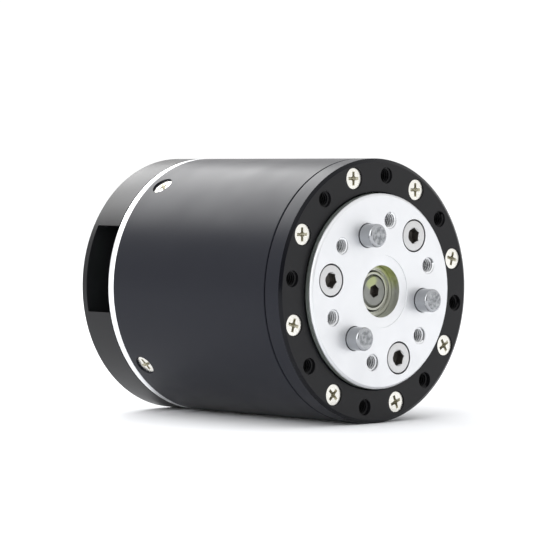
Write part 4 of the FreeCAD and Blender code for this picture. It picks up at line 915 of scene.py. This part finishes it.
# %% Dowels
DOWEL_ROUND = 0.56
UNDERCUT = 0.15
UNDERCUT_WIDE = 0.6
proud = flange.front - dowels.front
dowel_back = dowels.back - flange.front
dowel = spun([
    (0, -proud), (dowel_radius, -proud, DOWEL_ROUND), (dowel_radius, 0),
    (dowel_radius - UNDERCUT, 0), (dowel_radius - UNDERCUT, UNDERCUT_WIDE),
    (dowel_radius, UNDERCUT_WIDE), (dowel_radius, dowel_back, 0.3), (0, dowel_back)], steps=72)
paint(dowel, 1, lambda middle, normal: middle.z < 0.01 - proud)
install(repeated(dowel, dowel_places), "flange_dowels", [dowel_steel, sawn_end], "output",
        OUTPUT_ROLL, ["output_pins"])

# %% [markdown]
# ## What shows in the centre bore
#
# A small shielded bearing: outer ring, a pressed shield with a step, inner ring, and the end of
# the gearbox shaft with a hexagon in it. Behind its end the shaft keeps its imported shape.

# %% The centre bearing
RING_WALL = 0.75
INNER_WALL = 0.55
SHIELD_SINK = 0.3
SHIELD_STEP = 0.45
front, back = centre_outer.front, centre_outer.back
wall_inside = centre_outer.outer - RING_WALL
shield_outer = wall_inside - 0.25
shield_inner = centre_inner.inner + INNER_WALL + 0.3
outer_ring = spun([
    (wall_inside, front + SHIELD_SINK), (wall_inside, front, 0.06),
    (centre_outer.outer, front, 0.2), (centre_outer.outer, back, 0.2), (wall_inside, back),
    (wall_inside, back - SHIELD_SINK), (shield_inner, back - SHIELD_SINK),
    (shield_inner, front + SHIELD_STEP, 0.05), (shield_outer, front + SHIELD_STEP, 0.05),
    (shield_outer, front + SHIELD_SINK, 0.05)])
install(outer_ring, "centre_bearing_ring_outer", [bearing_steel], "output", OUTPUT_ROLL,
        ["centre_bearing_outer"])
inner_ring = spun([
    (centre_inner.inner, front, 0.12), (centre_inner.inner + INNER_WALL, front, 0.06),
    (centre_inner.inner + INNER_WALL, back), (centre_inner.inner, back)])
install(inner_ring, "centre_bearing_ring_inner", [bearing_steel], "stage_one", OUTPUT_ROLL,
        ["centre_bearing_inner"])

# %% The shaft's end
NOSE_RADIUS = 3.5
NOSE_BEVEL = 0.5
NOSE_LONG = 3.0
NOSE_SOCKET = 1.44
NOSE_SOCKET_DEEP = 1.6
nose_end = sun.front + NOSE_LONG
nose = spun([(0, sun.front), (NOSE_RADIUS - NOSE_BEVEL, sun.front, 0.04),
             (NOSE_RADIUS, sun.front + NOSE_BEVEL, 0.04), (NOSE_RADIUS, nose_end),
             (0, nose_end)], steps=72)
# the hexagon's walls get finish 1, painted shade
nose = cut(nose, hexagon_drill(NOSE_SOCKET, sun.front + NOSE_SOCKET_DEEP), finish=1)
paint(nose, 2, lambda middle, normal: normal.z < -0.9 and middle.z < sun.front + 0.1)
install(nose, "shaft_nose", [shaft_steel, socket_painted_shade, greased_end], "stage_one", OUTPUT_ROLL)
merged_copy("stage_two_sun", "shaft_with_sun", shaft_steel, "stage_one",
            keep_behind=nose_end)

# %% The output bearing's seal
merged_copy("output_bearing_seal", "bearing_seal_lip", rubber, "housing")

# %% [markdown]
# ## Pieces inside the housing
#
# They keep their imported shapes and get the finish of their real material: hobbed and oiled gear
# steel, sintered bronze, phosphated bell, stacked laminations, enamelled wire, and so on. Each
# pattern is made once, in real millimetres, on the machine's own axis.

# %% Finishes of the gearbox
gear_steel = lined("steel_hobbed_oiled", "#8f9194", 0.26, 0.4, pitch=0.4, depth=0.004,
                   Coat_Weight=0.4, Coat_Roughness=0.1)
bell_steel = mottled("steel_phosphated", "#3b3b3d", 0.3, 0.5, 0.7, blotch=0.3, detail=5.0,
                     depth=0.01, strength=0.4)
bronze, shader, here = new_finish("bronze_sintered", "#b98d4f", 1.0, 0.42)
pores = add(bronze, "ShaderNodeTexVoronoi", {"Vector": here, "Scale": per_mm(0.35)})
driven(bronze, shader, relief=(pores.outputs["Distance"], 0.02, 0.5))
print(gear_steel.name, bell_steel.name, bronze.name)

# %% [markdown]
# ### Motor
#
# The stator is a stack of sheets 0.35 mm thick with a dark line of lacquer between them. The wire
# is wound in lines, and its enamel gives a thin clear coat. A wave draws the windings as coarse
# bands, about 4.35 mm apart, where real wire would be about 0.6 mm thick.

# %% Finishes of the motor
SHEET = 0.35 * MM
# a diagonal wave repeats 2.76 times within this many millimetres
WAVE_SPAN = 12.0
laminations, shader, here = new_finish("steel_laminations", "#6c6d72", 0.8, 0.45)
along = add(laminations, "ShaderNodeSeparateXYZ", {0: here}).outputs["Y"]
phase = add(laminations, "ShaderNodeMath", {0: along, 1: SHEET}, operation="MODULO").outputs[0]
share = add(laminations, "ShaderNodeMath", {0: phase, 1: SHEET}, operation="DIVIDE").outputs[0]
driven(laminations, shader, tint=(share, [(0.0, "#26262a"), (0.25, "#7b7c80")]))
copper, shader, here = new_finish("copper_enamelled_wire", "#b8632f", 1.0, 0.3,
                                  Coat_Weight=0.6, Coat_Roughness=0.15)
wires = add(copper, "ShaderNodeTexWave", {"Vector": here, "Scale": per_mm(WAVE_SPAN)},
            bands_direction="DIAGONAL")
driven(copper, shader, relief=(wires.outputs["Fac"], 0.2, 0.8))
magnet_plate = mottled("magnet_nickel_plated", "#c3c2bd", 1.0, 0.18, 0.28, blotch=1.0, **plated)
print(laminations.name, copper.name, magnet_plate.name)

# %% [markdown]
# ### Electronics
#
# The board is green lacquer over glass cloth, whose weave shows as faint squares. Chips, plugs and
# leads are black plastics that differ in gloss and grain. The spacers are turned brass.

# %% Finishes of the electronics
mask, shader, here = new_finish("board_solder_mask", "#0f5a33", 0.0, 0.35, IOR=1.55)
cloth = add(mask, "ShaderNodeTexChecker", {
    "Vector": here, "Scale": per_mm(0.5), "Color1": tone("#0e5630"), "Color2": tone("#136640")})
mask.node_tree.links.new(cloth.outputs["Color"], shader.inputs["Base Color"])
moulded = {"depth": 0.01, "IOR": 1.53}
epoxy = mottled("epoxy_moulded_black", "#19191a", 0.0, 0.4, 0.53, blotch=0.3, **moulded)
nylon = mottled("nylon_moulded_black", "#111112", 0.0, 0.35, 0.48, blotch=0.5, **moulded)
silicone = mottled("silicone_lead_black", "#151515", 0.0, 0.45, 0.58, blotch=0.6, **moulded)
brass = mottled("brass_turned", "#c9a457", 1.0, 0.22, 0.34, blotch=0.8, **plated)
print(mask.name, epoxy.name, nylon.name, silicone.name, brass.name)

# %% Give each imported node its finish
finish_of_slot = {
    "black_anodised": anodised, "bare_aluminium": turned, "nickel_screw": nickel,
    "zinc_screw": zinc, "bearing_steel": bearing_steel, "seal_rubber": rubber,
    "ground_steel": dowel_steel, "gear_steel": gear_steel, "bronze": bronze,
    "bell_steel": bell_steel, "magnet_nickel": magnet_plate, "lamination_steel": laminations,
    "copper_enamel": copper, "lead_insulation": silicone, "board_laminate": mask,
    "chip_epoxy": epoxy, "connector_nylon": nylon, "brass_spacer": brass}
for part in frame["record"]["subparts"]:
    for slot in nodes[part["node"]].material_slots:
        slot.material = finish_of_slot[part["material_slot"]]

# %% [markdown]
# ## Floor, light and camera
#
# The floor is a wide pale sheet. The room is a plain white studio that is dim only behind the
# camera, so faces turned to the camera stay dark and the others pick up the walls. A low bright
# patch at the left stands for a window, and two faint ones fill in from above and from the right.
# One large soft lamp hangs overhead and draws the long grey sheen along the tube's top.

# %% Floor
FLOOR_RADIUS = 4.0
floor_level = cad_box[0][2]
sheet = bmesh.new()
bmesh.ops.create_circle(sheet, cap_ends=True, segments=64, radius=FLOOR_RADIUS,
                        matrix=Matrix.Translation((0, 0, floor_level)))
pale_sheet = mottled("floor_pale_matt", "#f4f5f7", 0.0, 0.55, 0.7, blotch=3.0,
                     Specular_IOR_Level=0.05)
floor = piece_of(sheet, "floor", [pale_sheet])
print("floor at %.4f m" % floor_level)

# %% Camera
CAMERA_AZIMUTH = -43.52
CAMERA_ELEVATION = 2.05
CAMERA_SPOT = (-0.45383, -0.44730, 0.02620)
CAMERA_LENS = 197.67
azimuth = math.radians(CAMERA_AZIMUTH)
elevation = math.radians(CAMERA_ELEVATION)
away = Vector((math.sin(azimuth) * math.cos(elevation), -math.cos(azimuth) * math.cos(elevation),
               math.sin(elevation)))
camera = bpy.data.objects.new("camera", bpy.data.cameras.new("camera"))
camera.data.lens = CAMERA_LENS
camera.data.sensor_width = 36
camera.data.clip_start = 0.01
camera.location = CAMERA_SPOT
camera.rotation_euler = (-away).to_track_quat("-Z", "Y").to_euler()
bpy.context.scene.collection.objects.link(camera)
bpy.context.scene.camera = camera
print("camera: %.2f mm lens, %.2f degrees up" % (CAMERA_LENS, CAMERA_ELEVATION))

# %% Room
WALL = 1.05
scene = bpy.context.scene
scene.view_settings.view_transform = "Standard"
world = bpy.data.worlds.new("studio")
world.use_nodes = True
scene.world = world
direction = add(world, "ShaderNodeTexCoord").outputs["Generated"]


def with_patch(room, operation, amount, spot, wide, narrow):
    """The room with a soft round patch of light added to its walls, or taken from them.

    The patch has its full amount within the narrow angle from its spot, and ends at the wide one.
    """
    towards = add(world, "ShaderNodeVectorMath", {0: direction, 1: Vector(spot).normalized()},
                  operation="DOT_PRODUCT").outputs["Value"]
    light = add(world, "ShaderNodeMapRange", {
        "Value": towards, "From Min": math.cos(math.radians(wide)),
        "From Max": math.cos(math.radians(narrow)), "To Min": 0.0, "To Max": amount},
        interpolation_type="SMOOTHSTEP").outputs["Result"]
    patch = add(world, "ShaderNodeVectorMath", {0: (1.0, 1.0, 1.0), "Scale": light},
                operation="SCALE").outputs[0]
    return add(world, "ShaderNodeVectorMath", {0: room, 1: patch}, operation=operation).outputs[0]


# behind the camera, overhead, low at the left, low at the right
PATCHES = (("SUBTRACT", 0.95, away, 46, 18), ("ADD", 0.1, (0, 0.3, 1), 60, 10),
           ("ADD", 2.3, (-1, -0.1, 0.35), 45, 15), ("ADD", 0.15, (0.9, -0.6, 0.1), 50, 10))
room = add(world, "ShaderNodeCombineXYZ", {"X": WALL, "Y": WALL, "Z": WALL}).outputs[0]
for patch in PATCHES:
    room = with_patch(room, *patch)
world.node_tree.links.new(room, world.node_tree.nodes["Background"].inputs["Color"])
print("patches of light in the room:", len(PATCHES))

# %% Lamp
LAMP_SPOT = Vector((0.05, 0.69, 0.57))
LAMP_AIM = Vector((0, 0.03, 0))
lamp = bpy.data.objects.new("overhead", bpy.data.lights.new("overhead", "AREA"))
lamp.data.shape = "RECTANGLE"
lamp.data.size = 0.8
lamp.data.size_y = 0.3
lamp.data.energy = 4.5
lamp.location = LAMP_SPOT
lamp.rotation_euler = (LAMP_AIM - LAMP_SPOT).to_track_quat("-Z", "Y").to_euler()
bpy.context.scene.collection.objects.link(lamp)
print("lamp: %.1f W, %.1f by %.1f m" % (lamp.data.energy, lamp.data.size, lamp.data.size_y))
